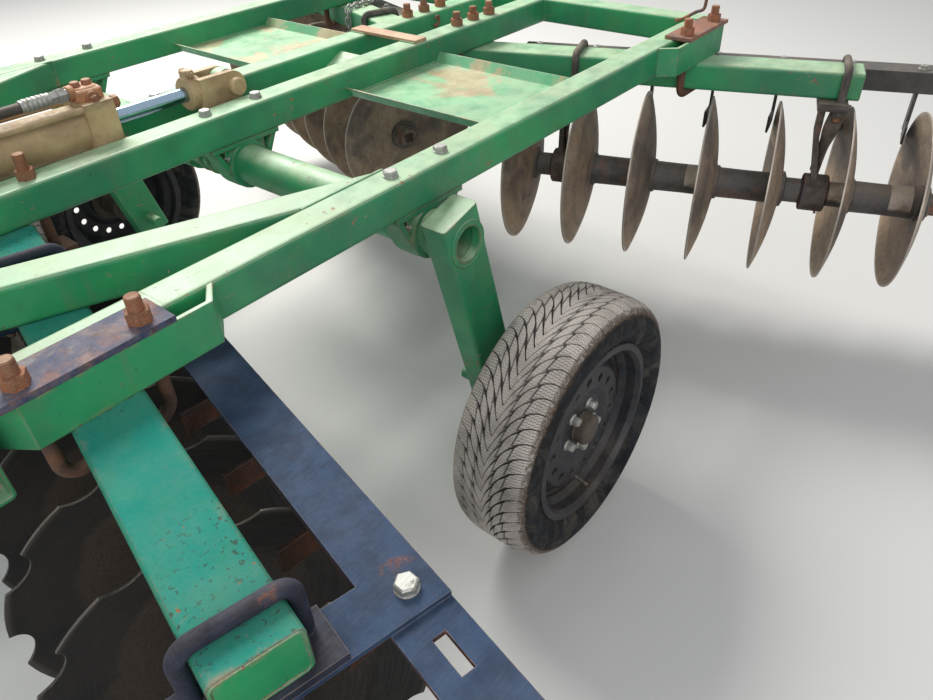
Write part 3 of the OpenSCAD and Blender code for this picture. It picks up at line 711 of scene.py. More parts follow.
@dataclass(frozen=True)
class Paint(Finish):
    """Old paint: two tints, chalk with painted sunlight on top, dirt, chips with primer and rust,
    worn edges.
    """

    tint: tuple = rgb(34, 150, 94)
    deep: tuple = rgb(22, 118, 80)
    # Tone laid on the tops: chalk with painted sunlight, or on the shaded beam a painted sky
    # reflection.
    top_light_chalk: tuple = rgb(196, 228, 190)
    top_light_share: float = 0.62
    dirt: float = 0.3
    wear: float = 1.0
    chips: float = 0.99
    pits: float = 0.70
    matte: float = 0.0
    stained: float = 0.0
    stain_low: float = 0.5
    stain_from: float = 0.0

    def surface(self, where: Field) -> Surface:
        """Old paint.

        Args:
            where: object coordinates.

        Returns:
            What feeds the shader.
        """
        mid, fine = where.noise(19.0, 6.0, 0.62), where.noise(240.0, 3.0, 0.6)
        up = upward(where)
        paint = mixed(where.noise(2.6, 4.0, 0.6).ramp(0.36, 0.62), self.deep, self.tint)
        # Tops lighter by chalk and by painted sunlight; on the beam, by a painted sky reflection.
        top_light_mask = up.ramp(0.55, 0.95) * mid.ramp(0.3, 0.62, 0.45, 1.0)
        color = mixed(top_light_mask * self.top_light_share, paint, self.top_light_chalk)
        grime = where.noise(6.5, 7.0, 0.68).ramp(0.48, 0.72) * self.dirt
        color = mixed(grime, color, rgb(96, 92, 66))
        runs = where.stretched((26.0, 26.0, 2.6)).noise(1.0, 5.0, 0.7).ramp(0.55, 0.75)
        color = mixed(runs * abs(up).ramp(0.6, 0.2) * self.dirt, color, rgb(110, 112, 88))
        lines = where.stretched((9.0, 150.0, 150.0), (0.0, 0.0, 0.12)).noise(1.0, 2.0)
        lines2 = where.stretched((130.0, 8.0, 90.0), (0.0, 0.3, 0.5)).noise(1.0, 2.0)
        scratch = lines.ramp(0.70, 0.735).most(lines2.ramp(0.70, 0.74))
        scratch = scratch * where.noise(5.0).ramp(0.46, 0.6)
        chips = (where.noise(70.0, 4.0, 0.55, 0.6) + where.noise(5.5, 3.0) * 0.55).ramp(
            self.chips, self.chips + 0.03)
        specks = (where.noise(150.0, 2.0, 0.5, 0.4).ramp(self.pits, self.pits + 0.04)
                  * where.noise(4.2, 3.0).ramp(0.44, 0.58))
        color = mixed(specks * 0.85, color, rgb(38, 66, 56))
        edges = where.group(EDGES, Radius=0.004, Low=0.05 / self.wear, High=0.32 / self.wear)
        worn = add_node(where.socket.id_data, "Clamp",
                        {0: edges["Mask"].most(chips).most(scratch * 0.7)})
        rust = where.group(RUST, Pale=0.45)["Color"]
        color = mixed(worn, color, mixed(mid.ramp(0.4, 0.55), rgb(150, 140, 128), rust))
        if self.stained:
            spread = where.noise(5.0, 6.0, 0.62, 0.5).ramp(self.stain_low, self.stain_low + 0.1)
            spread = spread * where.parts()[2].ramp(self.stain_from, self.stain_from + 0.001)
            spread = spread * up.ramp(-0.5, 0.2)
            color = mixed(spread * self.stained, color, mixed(
                mid.ramp(0.4, 0.6), rgb(188, 128, 98), rgb(206, 160, 130)))
        bloom = (where.group(EDGES, Radius=0.016, Low=0.05, High=0.5)["Mask"]
                 * where.noise(12.0, 6.0, 0.7).ramp(0.53, 0.62))
        color = mixed(bloom * (0.7 * min(self.wear, 1.4)), color,
                      mixed(0.55, rust, rgb(186, 150, 128)))
        dust = where.group(DUST, Amount=0.34 * self.dirt / 0.3, Side=0.06)["Mask"]
        color = mixed(dust, color, rgb(176, 172, 146))
        rough = (mid.ramp(0.3, 0.7, 0.34 + self.matte, 0.52 + self.matte)
                 + worn.most(dust) * 0.3)
        return Surface(color, rough, 0.0, fine * 0.12 + mid * 0.35 - worn * 0.35, 0.0006,
                       edges["Normal"])


@dataclass(frozen=True)
class Steel(Finish):
    """Bare steel: blue-grey mill skin with scratches, rust creeping in from edges and pits, and
    below a set height rust darkened as painted shade.
    """

    tint: tuple = rgb(84, 90, 100)
    deep: tuple = rgb(52, 56, 64)
    rusted: float = 0.35
    metal: float = 0.55
    grain: float = 0.14
    rough: float = 0.43
    dusty: float = 0.3
    rust_and_shade_under: float = 0.0

    def surface(self, where: Field) -> Surface:
        """Bare steel.

        Args:
            where: object coordinates.

        Returns:
            What feeds the shader.
        """
        mid, fine = where.noise(24.0, 6.0, 0.6), where.noise(260.0, 4.0, 0.65)
        skin = mixed(mid.ramp(0.35, 0.65), self.deep, self.tint)
        grain = where.stretched((30.0, 400.0, 400.0)).noise(1.0, 3.0)
        skin = mixed(grain.ramp(0.45, 0.75, 0.0, self.grain), skin, rgb(150, 156, 166))
        edges = where.group(EDGES, Radius=0.0022, Low=0.03, High=0.22)
        rust = where.group(RUST, Pale=0.35)
        patch = where.noise(9.0, 7.0, 0.7)
        eaten = (patch + edges["Mask"] * 0.25).ramp(0.72 - 0.42 * self.rusted,
                                                    0.86 - 0.42 * self.rusted)
        rusty = rust["Color"]
        # Below the height: rust, darkened brown as painted shade under the scraper bar.
        if self.rust_and_shade_under:
            low = (where.parts()[2].ramp(self.rust_and_shade_under + 0.0005, self.rust_and_shade_under - 0.0005)
                   * patch.ramp(0.3, 0.5))
            eaten = eaten.most(low)
            rusty = mixed(low * 0.75, rusty, rgb(64, 50, 44))
        color = mixed(eaten, skin, rusty)
        color = mixed(edges["Mask"] * (0.45 * (1 - self.rusted)), color, rgb(176, 178, 180))
        dust = where.group(DUST, Amount=self.dusty, Side=0.25 * self.dusty)["Mask"]
        color = mixed(dust, color, rgb(156, 140, 118))
        dull = eaten.most(dust)
        rough = (fine.ramp(0.3, 0.7, self.rough - 0.07, self.rough + 0.07)
                 + dull * (0.8 - self.rough))
        height = rust["Height"] * eaten.ramp(0.0, 1.0, 0.15, 0.9) + fine * 0.2
        return Surface(color, rough, (1.0 - dull) * self.metal, height, 0.0007, edges["Normal"])


@dataclass(frozen=True)
class Gilded(Finish):
    """Ochre primer on castings, gone orange with rust on top, dusty, with oil at the seams."""

    tint: tuple = rgb(184, 160, 118)
    deep: tuple = rgb(146, 122, 90)
    warm: tuple = rgb(206, 132, 74)
    rusted: float = 0.4

    def surface(self, where: Field) -> Surface:
        """Rusty primer.

        Args:
            where: object coordinates.

        Returns:
            What feeds the shader.
        """
        mid, fine = where.noise(45.0, 6.0, 0.65), where.noise(320.0, 4.0, 0.6)
        paint = mixed(where.noise(8.0, 5.0, 0.6).ramp(0.35, 0.65), self.deep, self.tint)
        edges = where.group(EDGES, Radius=0.003, Low=0.05, High=0.4)
        creep = mid + (edges["Mask"] * 0.12 + upward(where).ramp(0.2, 1.0, 0.0, 0.05))
        eaten = creep.ramp(0.74 - 0.4 * self.rusted, 0.9 - 0.4 * self.rusted)
        color = mixed(eaten, paint, mixed(0.5, where.group(RUST, Pale=0.3)["Color"], self.warm))
        stain = where.stretched((7.0, 30.0, 12.0)).noise(1.0, 6.0, 0.7).ramp(0.5, 0.68)
        color = mixed(stain * 0.6, color, rgb(74, 62, 48))
        color = mixed(where.group(DUST, Amount=0.5, Side=0.12)["Mask"], color,
                      rgb(198, 176, 146))
        return Surface(color, mid.ramp(0.3, 0.7, 0.5, 0.78), 0.0, fine * 0.3 + mid * 0.7, 0.0009,
                       edges["Normal"])


@dataclass(frozen=True)
class ClampIron(Finish):
    """Clamping bolts: rusty above the rails, dark below, with blue-grey plates between."""

    plate_low: float = 0.861
    plate_high: float = 0.8713
    stud_dark: float = 0.786

    def surface(self, where: Field) -> Surface:
        """Rusty studs and their plates.

        Args:
            where: object coordinates.

        Returns:
            What feeds the shader.
        """
        mid, fine = where.noise(32.0, 6.0, 0.65), where.noise(330.0, 4.0, 0.65)
        rust = where.group(RUST, Pale=0.5)
        edges = where.group(EDGES, Radius=0.0022, Low=0.03, High=0.3)
        x, y, z = where.parts()
        plate = (z.ramp(self.plate_low - 0.0008, self.plate_low)
                 * z.ramp(self.plate_high + 0.0008, self.plate_high)) * abs(y).ramp(0.6, 0.62)
        skin = mixed(mid.ramp(0.36, 0.62), rgb(52, 66, 94), rgb(74, 86, 110))
        skin = mixed(where.noise(11.0, 6.0, 0.7, 0.5).ramp(0.50, 0.60, 0.0, 0.7), skin,
                     rgb(116, 116, 118))
        dark = where.noise(55.0, 6.0, 0.75, 0.4).ramp(0.56, 0.64)
        skin = mixed(dark * 0.7, skin, rgb(52, 48, 52))
        skin = mixed(x.ramp(0.0, -0.1) * mid.ramp(0.4, 0.5, 0.4, 0.9), skin,
                     mixed(0.4, rust["Color"], rgb(170, 128, 104)))
        skin = mixed(where.noise(7.0, 6.0, 0.7).ramp(0.47, 0.62, 0.0, 0.7), skin,
                     rgb(146, 102, 80))
        skin = mixed(edges["Mask"] * 0.8, skin, rgb(64, 48, 44))
        stud = mixed(z.ramp(self.stud_dark + 0.014, self.stud_dark) * 0.8,
                     mixed(0.4, rust["Color"], rgb(158, 112, 84)),
                     mixed(mid.ramp(0.4, 0.62), rgb(56, 50, 50), rgb(96, 68, 54)))
        color = mixed(where.group(DUST, Amount=0.15, Side=0.05)["Mask"],
                      mixed(plate, stud, skin), rgb(176, 148, 128))
        return Surface(color, mid.ramp(0.3, 0.7, 0.5, 0.8), 0.1,
                       rust["Height"] * 0.8 + fine * 0.3, 0.0009, edges["Normal"])


@dataclass(frozen=True)
class GangIron(Finish):
    """Iron of a gang, patterned about its axle; each disc or spool has its own lot."""

    place: tuple = (0.0, 0.0, 0.0)
    turn: float = 0.0
    middle: float = 0.26
    # Share of painted shade: 1 on the front gangs, whose discs are painted dark, with less dust and
    # dimmer edges.
    shade: float = 0.0
    pitch: float = 0.175
    radius: float = 0.230

    def about(self, where: Field) -> tuple[Field, ...]:
        """What the pattern follows, in the gang's own axes with y along the axle.

        Args:
            where: object coordinates.

        Returns:
            x, y, z, distance from the axle, lot, clouds drawn out round the axle, fine rings.
        """
        own = add_node(where.socket.id_data, "Mapping",
                       {0: where, 1: self.place, 2: (0.0, 0.0, self.turn)},
                       vector_type="TEXTURE")
        x, y, z = own.parts()
        r, angle = (x * x + z * z).step("SQRT"), z.step("ARCTAN2", x)
        cell = (y / self.pitch + 0.45).step("FLOOR")
        lot = add_node(where.socket.id_data, "TexWhiteNoise", {"W": cell}, noise_dimensions="1D")
        arcs = own.packed(r * 60.0, angle * 0.8, lot * 40.0).noise(1.0, 5.0, 0.65)
        rings = own.packed(r * 420.0, angle * 1.6, lot * 90.0).noise(1.0, 3.0, 0.6)
        return x, y, z, r, lot, arcs, rings

    def finished(self, where: Field, color: Field, fine: Field, **look: Value) -> Surface:
        """The surface with its dust and the rust's crust.

        Args:
            where: object coordinates.
            color: colour under the dust.
            fine: fine cloud for the bump.
            look: roughness, metal and normal.

        Returns:
            What feeds the shader.
        """
        # Less pale dust on shaded gangs: painted shade.
        dust = where.group(DUST, Amount=0.45, Side=0.22 - 0.18 * self.shade)["Mask"]
        color = mixed(dust * (0.7 - 0.4 * self.shade), color, rgb(168, 148, 126))
        height = where.group(RUST, Pale=0.4)["Height"] * 0.6 + fine * 0.3
        return Surface(color, height=height, deep=0.0006, **look)


@dataclass(frozen=True)
class DiscIron(GangIron):
    """Disc: earth dried on pale steel, or, on shaded gangs, a dark painted shade with a brown
    middle.
    """

    def surface(self, where: Field) -> Surface:
        """Earthy disc, or dark with painted shade, with a bright edge.

        Args:
            where: object coordinates.

        Returns:
            What feeds the shader.
        """
        x, _, z, r, lot, arcs, rings = self.about(where)
        mid, fine = where.noise(26.0, 6.0, 0.65), where.noise(300.0, 4.0, 0.65)
        edges = where.group(EDGES, Radius=0.0015, Low=0.03, High=0.3)
        cloud = where.noise(13.0, 6.0, 0.68, 0.4)
        broad = where.packed(x * 4.0, lot * 60.0, z * 4.0).noise(1.0, 4.0, 0.6)
        earth = mixed(cloud.ramp(0.36, 0.62), rgb(128, 112, 96), rgb(160, 142, 122))
        earth = mixed(broad.ramp(0.46, 0.58), earth, rgb(84, 78, 76))
        earth = mixed(arcs.ramp(0.44, 0.66, 0.0, 0.16), earth, rgb(92, 74, 62))
        low = (z + (cloud - 0.5) * 0.3).ramp(0.02, -0.14)
        earth = mixed(low * 0.55, earth, rgb(178, 152, 122))
        earth = mixed(mid.ramp(0.5, 0.66, 0.0, 0.4), earth,
                      mixed(0.5, where.group(RUST, Pale=0.4)["Color"], rgb(120, 96, 76)))
        smear = where.noise(38.0, 7.0, 0.75, 0.3).ramp(0.52, 0.62)
        earth = mixed(smear * 0.45, earth, rgb(70, 64, 60))
        ring = abs(r + (arcs - 0.5) * 0.06 - 0.165)
        earth = mixed(ring.ramp(0.020, 0.004, 0.0, 0.3), earth, rgb(66, 60, 60))
        # Painted shade: the dark colour the shaded gangs' discs take instead of earth.
        dark = mixed(cloud.ramp(0.36, 0.64), rgb(20, 20, 20), rgb(34, 30, 29))
        brown = mixed(fine.ramp(0.4, 0.6), rgb(48, 38, 31), rgb(70, 57, 46))
        dark = mixed((r + (cloud - 0.5) * 0.09).ramp(0.150, 0.128) * 0.75, dark, brown)
        # The bright edge dims on shaded gangs: painted shade.
        bright = (r + (arcs - 0.5) * 0.016).ramp(self.radius - 0.010, self.radius - 0.001, 0.0,
                                                 0.75 - 0.6 * self.shade)
        bright = bright.most(edges["Mask"] * (0.9 - 0.35 * self.shade))
        bright = bright * mid.ramp(0.25, 0.5, 0.45, 1.0)
        color = mixed(bright * 0.75, mixed(self.shade, earth, dark), rgb(188, 182, 174))
        return self.finished(where, color, fine, metal=bright * 0.7, normal=edges["Normal"],
                             rough=rings.ramp(0.3, 0.7, 0.6, 0.8) - bright * 0.3)


@dataclass(frozen=True)
class SpoolIron(GangIron):
    """Spool: dark casting with a pale worn band whose width is drawn by lot."""

    def surface(self, where: Field) -> Surface:
        """Dark casting with pale bands on its upper side.

        Args:
            where: object coordinates.

        Returns:
            What feeds the shader.
        """
        _, y, z, _, lot, _, rings = self.about(where)
        mid, fine = where.noise(26.0, 6.0, 0.65), where.noise(300.0, 4.0, 0.65)
        edges = where.group(EDGES, Radius=0.003, Low=0.03, High=0.3)
        along = abs((y / self.pitch + (40.5 - self.middle)).step("FRACT") - 0.5)
        width = 0.05 + (lot * 7.0).step("FRACT") * 0.22
        band = (along + (mid - 0.5) * 0.03 - width).ramp(0.006, -0.006) * lot.ramp(0.25, 0.3)
        band = band * (z + (mid - 0.5) * 0.03).ramp(-0.012, 0.0)
        color = mixed(band * 0.85,
                      mixed(mid.ramp(0.36, 0.64), rgb(50, 52, 57), rgb(86, 86, 88)),
                      mixed(mid.ramp(0.35, 0.6), rgb(172, 154, 136), rgb(208, 200, 190)))
        color = mixed(rings.ramp(0.5, 0.7, 0.0, 0.2), color, rgb(108, 100, 94))
        color = mixed(where.noise(8.0, 5.0, 0.7).ramp(0.55, 0.70, 0.0, 0.35), color,
                      where.group(RUST, Pale=0.4)["Color"])
        color = mixed(edges["Mask"] * 0.6, color, rgb(150, 140, 130))
        return self.finished(where, color, fine, metal=0.15, normal=edges["Normal"],
                             rough=mid.ramp(0.3, 0.7, 0.5, 0.8))


@dataclass(frozen=True)
class TyreRubber(Finish):
    """Dusty tyre: pale lands, dark grooves, fine sipes, a crumbly shoulder, a dark wall."""

    pitches: int = 60
    middle: float = 0.928

    def surface(self, where: Field) -> Surface:
        """Dusty rubber over the tyre's own UV and its attributes land and zone.

        Args:
            where: object coordinates.

        Returns:
            What feeds the shader.
        """
        tree = where.socket.id_data
        u, v, _ = add_node(tree, "UVMap", uv_map="around").parts()
        land, zone = (add_node(tree, "Attribute", out="Fac", attribute_name=name)
                      for name in ("land", "zone"))
        mid, fine = where.noise(38.0, 6.0, 0.68), where.noise(420.0, 4.0, 0.65)
        sipe = abs((u * (self.pitches * 5 * math.pi)
                    + (v * 330.0).step("SINE") * 0.55).step("SINE"))
        shoulder = abs(abs(where.parts()[1]) - self.middle).ramp(0.046, 0.05)
        cut = sipe.ramp(0.40, 0.14) * zone.ramp(0.95, 0.55) * (0.45 + shoulder * 0.55)
        rubber = mixed(mid.ramp(0.35, 0.65), rgb(36, 36, 38), rgb(58, 56, 55))
        top = mixed(fine.ramp(0.3, 0.7), rgb(170, 164, 158), rgb(210, 202, 195))
        kept = land * where.noise(7.0, 4.0).ramp(0.3, 0.6, 0.55, 1.0) * zone.ramp(1.30, 0.90)
        color = mixed(kept * mid.ramp(0.28, 0.5, 0.7, 1.0), rubber, top)
        color = mixed(cut * (land * 0.75), color, rgb(62, 56, 52))
        wear = zone.ramp(0.6, 0.95) * zone.ramp(1.9, 1.3)
        crumb = wear * where.noise(90.0, 6.0, 0.75, 1.0).ramp(0.40, 0.56)
        color = mixed(crumb * 0.85, color,
                      mixed(fine.ramp(0.42, 0.58), rgb(40, 36, 34), rgb(128, 106, 88)))
        wall = zone.ramp(1.3, 1.7)
        color = mixed(wall, color, mixed(mid.ramp(0.4, 0.66), rgb(14, 19, 25), rgb(38, 42, 47)))
        film = wall * where.noise(16.0, 7.0, 0.72, 0.6).ramp(0.46, 0.68)
        color = mixed(film * 0.42, color, rgb(96, 90, 82))
        dust = where.group(DUST, Amount=0.25, Side=0.04)["Mask"]
        color = mixed(dust * 0.6, color, rgb(150, 134, 116))
        return Surface(color, mid.ramp(0.3, 0.7, 0.74, 0.92), 0.0,
                       fine * 0.25 - cut * 0.9 + crumb * 1.3, 0.0011)


@dataclass(frozen=True)
class Polished(Finish):
    """Plated or chromed metal: bright, faintly scratched along, with spots of dirt."""

    tint: tuple = rgb(206, 208, 212)
    dull: tuple = rgb(150, 146, 138)
    rough: float = 0.18
    spots: float = 0.3
    metal: float = 1.0

    def surface(self, where: Field) -> Surface:
        """Plated metal.

        Args:
            where: object coordinates.

        Returns:
            What feeds the shader.
        """
        spot = where.noise(60.0, 6.0, 0.7).ramp(0.52, 0.66) * self.spots
        scored = where.stretched((14.0, 500.0, 500.0)).noise(1.0, 3.0)
        edges = where.group(EDGES, Radius=0.0012, Low=0.05, High=0.4)
        return Surface(mixed(spot, self.tint, self.dull),
                       self.rough + spot * 0.4 + scored.ramp(0.4, 0.7, 0.0, 0.12),
                       (1.0 - spot * 0.8) * self.metal,
                       where.noise(500.0, 3.0) * 0.2 + scored, 0.00012, edges["Normal"])


@dataclass(frozen=True)
class Rubber(Finish):
    """Hose rubber or black paint: dark, dusty on top, scuffed along its edges."""

    tint: tuple = rgb(34, 35, 37)
    deep: tuple = rgb(20, 21, 23)
    dust: float = 0.45
    rough: float = 0.55
    scuffed: float = 0.5
    rusted: float = 0.0

    def surface(self, where: Field) -> Surface:
        """Dark rubber or paint.

        Args:
            where: object coordinates.

        Returns:
            What feeds the shader.
        """
        mid, fine = where.noise(30.0, 6.0, 0.65), where.noise(340.0, 4.0)
        color = mixed(mid.ramp(0.35, 0.65), self.deep, self.tint)
        edges = where.group(EDGES, Radius=0.0025, Low=0.04, High=0.35)
        color = mixed(edges["Mask"] * self.scuffed, color, rgb(112, 100, 90))
        eaten = where.noise(16.0, 7.0, 0.7).ramp(0.78 - 0.4 * self.rusted,
                                                 0.9 - 0.4 * self.rusted)
        color = mixed(eaten * (1.0 if self.rusted else 0.0), color,
                      where.group(RUST, Pale=0.3)["Color"])
        dust = where.group(DUST, Amount=self.dust, Side=self.dust * 0.4)["Mask"]
        color = mixed(dust, color, rgb(142, 128, 112))
        rough = fine.ramp(0.3, 0.7, self.rough - 0.08, self.rough + 0.08) + dust * 0.3
        return Surface(color, rough, 0.0, fine * 0.4 + mid * 0.6, 0.0004, edges["Normal"])


class Coat(Enum):
    """Finishes of the machine, those of added pieces with the record's material slot."""

    PAINT = Paint("green_paint"), "green_paint"
    # Painted sunlight: the trays' tint is lighter than the green's, for their lit lips; their
    # stains are real.
    LIT_TRAY = Paint("lit_tray_paint", tint=rgb(48, 166, 106), deep=rgb(34, 140, 94), top_light_share=0.45,
                 dirt=0.2, wear=0.9, stained=0.6, stain_low=0.49)
    # Painted shade: the beam's paint is a darker turquoise copy of the green, for the shade the
    # beam lies in.
    SHADED_BEAM = Paint("shaded_beam_paint", tint=rgb(12, 132, 108), deep=rgb(10, 116, 92),
                 top_light_chalk=rgb(14, 132, 134), top_light_share=0.4, wear=1.6, dirt=0.08, chips=1.04,
                 pits=0.61, matte=0.3, specular=0.1)
    TIE = Paint("tie_paint", wear=1.4, stained=0.9, stain_low=0.30, stain_from=0.8615)
    HANGER = Steel("hanger_iron", tint=rgb(50, 55, 72), deep=rgb(36, 39, 52), rusted=0.26,
                   metal=0.0, grain=0.05, specular=0.15, rough=0.7, dusty=0.1)
    HANGER_REAR = Steel("rear_hanger_iron", tint=rgb(96, 90, 86), deep=rgb(54, 52, 54),
                        rusted=0.36, metal=0.0, grain=0.05, specular=0.2, rough=0.65)
    GUARD = Steel("guard_steel", tint=rgb(118, 108, 98), deep=rgb(74, 66, 60), rusted=0.4,
                  metal=0.1, specular=0.3, rough=0.6), "rusty_steel"
    CLAMP = ClampIron("clamp_iron", specular=0.2)
    BAR_BLACK = Rubber("bar_black", tint=rgb(52, 53, 56), deep=rgb(34, 34, 37), rough=0.5,
                       dust=0.35, rusted=0.2)
    BLACK = Rubber("black_paint", tint=rgb(32, 39, 50), deep=rgb(18, 22, 30), rough=0.42,
                   dust=0.26, scuffed=0.4, rusted=0.12, specular=0.25)
    STEEL = Steel("bare_steel", tint=rgb(54, 74, 102), deep=rgb(44, 60, 84), rusted=0.2,
                  metal=0.0, grain=0.05, dusty=0.05, rough=0.68, specular=0.1,
                  rust_and_shade_under=0.7015), "bare_steel"
    RUSTY = Steel("rusty_steel", rusted=0.85), "rusty_steel"
    STUDS = Gilded("stud_rust", tint=rgb(158, 94, 64), deep=rgb(104, 62, 46),
                   warm=rgb(150, 92, 62), rusted=0.75, specular=0.25), "rusty_steel"
    ZINC = Polished("zinc", tint=rgb(158, 158, 154), dull=rgb(128, 118, 102), rough=0.44,
                    spots=0.7, metal=0.6), "bare_steel"
    CHROME = Polished("chrome", tint=rgb(150, 172, 190), rough=0.1, spots=0.12)
    OCHRE = Gilded("ochre_primer", rusted=0.28), "tan_paint"
    RUST_OCHRE = Gilded("rusty_casting", tint=rgb(196, 132, 84), deep=rgb(156, 94, 62),
                        rusted=0.6), "tan_paint"
    HOSE = Rubber("hose_rubber"), "hose_rubber"
    TYRE = TyreRubber("tyre", specular=0.15), "tyre"
    HUB = Rubber("hub_iron", tint=rgb(70, 60, 52), deep=rgb(40, 35, 32), dust=0.4, rough=0.7,
                 scuffed=0.3, rusted=0.4), "hub_iron"

    def __init__(self, finish: Finish, slot: str = "") -> None:
        """Keeps the finish and the slot."""
        self.finish, self.slot = finish, slot


def coat_solids() -> None:
    """Puts a finish on every CAD solid by what it is; each gang's iron has its own."""
    kinds = (("tyre", Coat.TYRE), ("rim", Coat.BLACK), ("hub", Coat.HUB), ("trays", Coat.LIT_TRAY),
             ("beam_clamps", Coat.CLAMP), ("beam_front", Coat.SHADED_BEAM), ("beam_", Coat.PAINT),
             ("hangers_rear", Coat.HANGER_REAR), ("hangers", Coat.HANGER),
             ("scrapers_rear", Coat.BAR_BLACK), ("scrapers", Coat.STEEL),
             ("centre_ties", Coat.TIE), ("jack_leg", Coat.RUSTY),
             ("cylinder_barrel", Coat.OCHRE), ("rod_clevis", Coat.OCHRE),
             ("cylinder_rod", Coat.CHROME), ("hoses", Coat.HOSE), ("hose_couplers", Coat.ZINC))
    iron = {solid: finish for gang in GANGS for solid, finish in gang.iron().items()}
    for node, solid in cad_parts.items():
        coat = next((coat for key, coat in kinds if node.startswith(key)), Coat.PAINT)
        finish = iron.get(node, coat.finish)
        solid.data.materials.clear()
        solid.data.materials.append(finish.make())
        log.info("%s: %s", node, finish.name)


def make_piece(name: str, shell: Shell, coat: Coat, body: Body | None, sharp: float = 32.0,
               slot: str = "") -> bpy.types.Object:
    """Makes a piece from a shell in machine millimetres and lets it ride on a body.

    Args:
        name: name of the piece.
        shell: its surface.
        coat: its finish.
        body: the CAD body it moves with, or None to leave it unattached.
        sharp: angle in degrees past which an edge stays crisp.
        slot: the record's material slot where it isn't the coat's own; not used.

    Returns:
        The object, at the origin and unturned.
    """
    piece = mesh_object(name, shell, coat.finish.make())
    mesh = piece.data
    mesh.polygons.foreach_set("use_smooth", np.ones(len(mesh.polygons), bool))
    mesh.set_sharp_from_angle(angle=math.radians(sharp))
    mesh.update()
    if body is not None:
        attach(piece, body.value)
    log.info("%s: %d faces", name, len(mesh.polygons))
    return piece


class Trim:
    """A group of small pieces: `pieces` lists them and `make` builds them."""

    def pieces(self) -> list[tuple]:
        """What `make_piece` is given for each piece."""
        raise NotImplementedError

    def make(self) -> None:
        """Builds the pieces."""
        for row in self.pieces():
            make_piece(*row)


# ---------------------------------------------------------------- gangs' places

@dataclass(frozen=True)
class GangPlace:
    """Where a gang's axle lies and how its discs stand, all as in the part's source."""

    body: Body
    side: int
    x: float
    y: float
    angle: float
    discs: int
    dished: int
    lead: float
    hangers: tuple
    beam: tuple
    pitch: float = 175.0
    dish: float = 42.0
    height: float = 480.0

    @property
    def key(self) -> str:
        """The gang's name in its pieces' names."""
        return self.body.value.removeprefix("gang_")

    @property
    def front(self) -> bool:
        """Whether this is one of the front gangs."""
        return self.dished > 0

    def matrix(self) -> np.ndarray:
        """4x4 matrix from the gang's own axes, Y out along the axle, to the machine's.

        Returns:
            The matrix, mirrored for a gang on the right.
        """
        c, s = math.cos(math.radians(self.angle)), math.sin(math.radians(self.angle))
        out = np.array([[c, s, 0, self.x], [-s, c, 0, self.y], [0, 0, 1, self.height],
                        [0, 0, 0, 1.0]])
        return MIRROR_Y @ out if self.side < 0 else out

    def hub(self, number: int) -> float:
        """Place along the axle of a disc's flat middle."""
        return number * self.pitch - self.dished * self.dish

    def gap(self, number: int) -> np.ndarray:
        """Matrix of the gap after a disc, its Y running from the dished face across it."""
        at = self.matrix() @ shift(y=self.hub(number if self.front else number + 1))
        return at if self.front else at @ MIRROR_Y

    def ends(self, thick: float = 4.0, washer: float = 14.0) -> tuple[float, float]:
        """Where the end washers' outer faces are, inner end first."""
        low = self.hub(0) + (1 if self.front else -1 - thick) - washer
        return low, self.hub(self.discs - 1) + (1 + thick if self.front else -1) + washer

    def iron(self) -> dict[str, GangIron]:
        """Finishes of the discs and the spools by node, patterned about the gang's axle.

        Returns:
            The finishes by the CAD node they go on.
        """
        kinds = {"discs_": DiscIron, "spools_": SpoolIron}
        # The front gangs get painted shade, the rear ones none.
        return {kind + self.key: finish(
            kind + self.key, place=Origin.point(self.x, self.side * self.y, self.height),
            turn=-math.radians(self.angle) * self.side, shade=1.0 if self.front else 0.0,
            middle=((0.26 if self.front else 0.74) + 0.2) * self.side)
            for kind, finish in kinds.items()}


REAR_TURN = math.radians(19.4)
GANGS = [
    GangPlace(Body.FRONT_LEFT, 1, 563, 222, 13.2, 7, 1, 0, (0, 5), (-110, 955)),
    GangPlace(Body.FRONT_RIGHT, -1, 563, 222, 13.2, 7, 1, 0, (0, 5), (-110, 955)),
    GangPlace(Body.REAR_LEFT, 1, -844, 297, -19.4, 7, -1, -85, (0, 4), (-240, 880)),
    GangPlace(Body.REAR_RIGHT, -1, -844 + 175 * math.sin(REAR_TURN),
              297 - 175 * math.cos(REAR_TURN), -19.4, 8, -1, -85, (1, 5), (-65, 1055))]
WHEEL_AT = (-449 * math.sin(math.radians(14.5)), 928.0, 298.0)


# ---------------------------------------------------------------- wheels

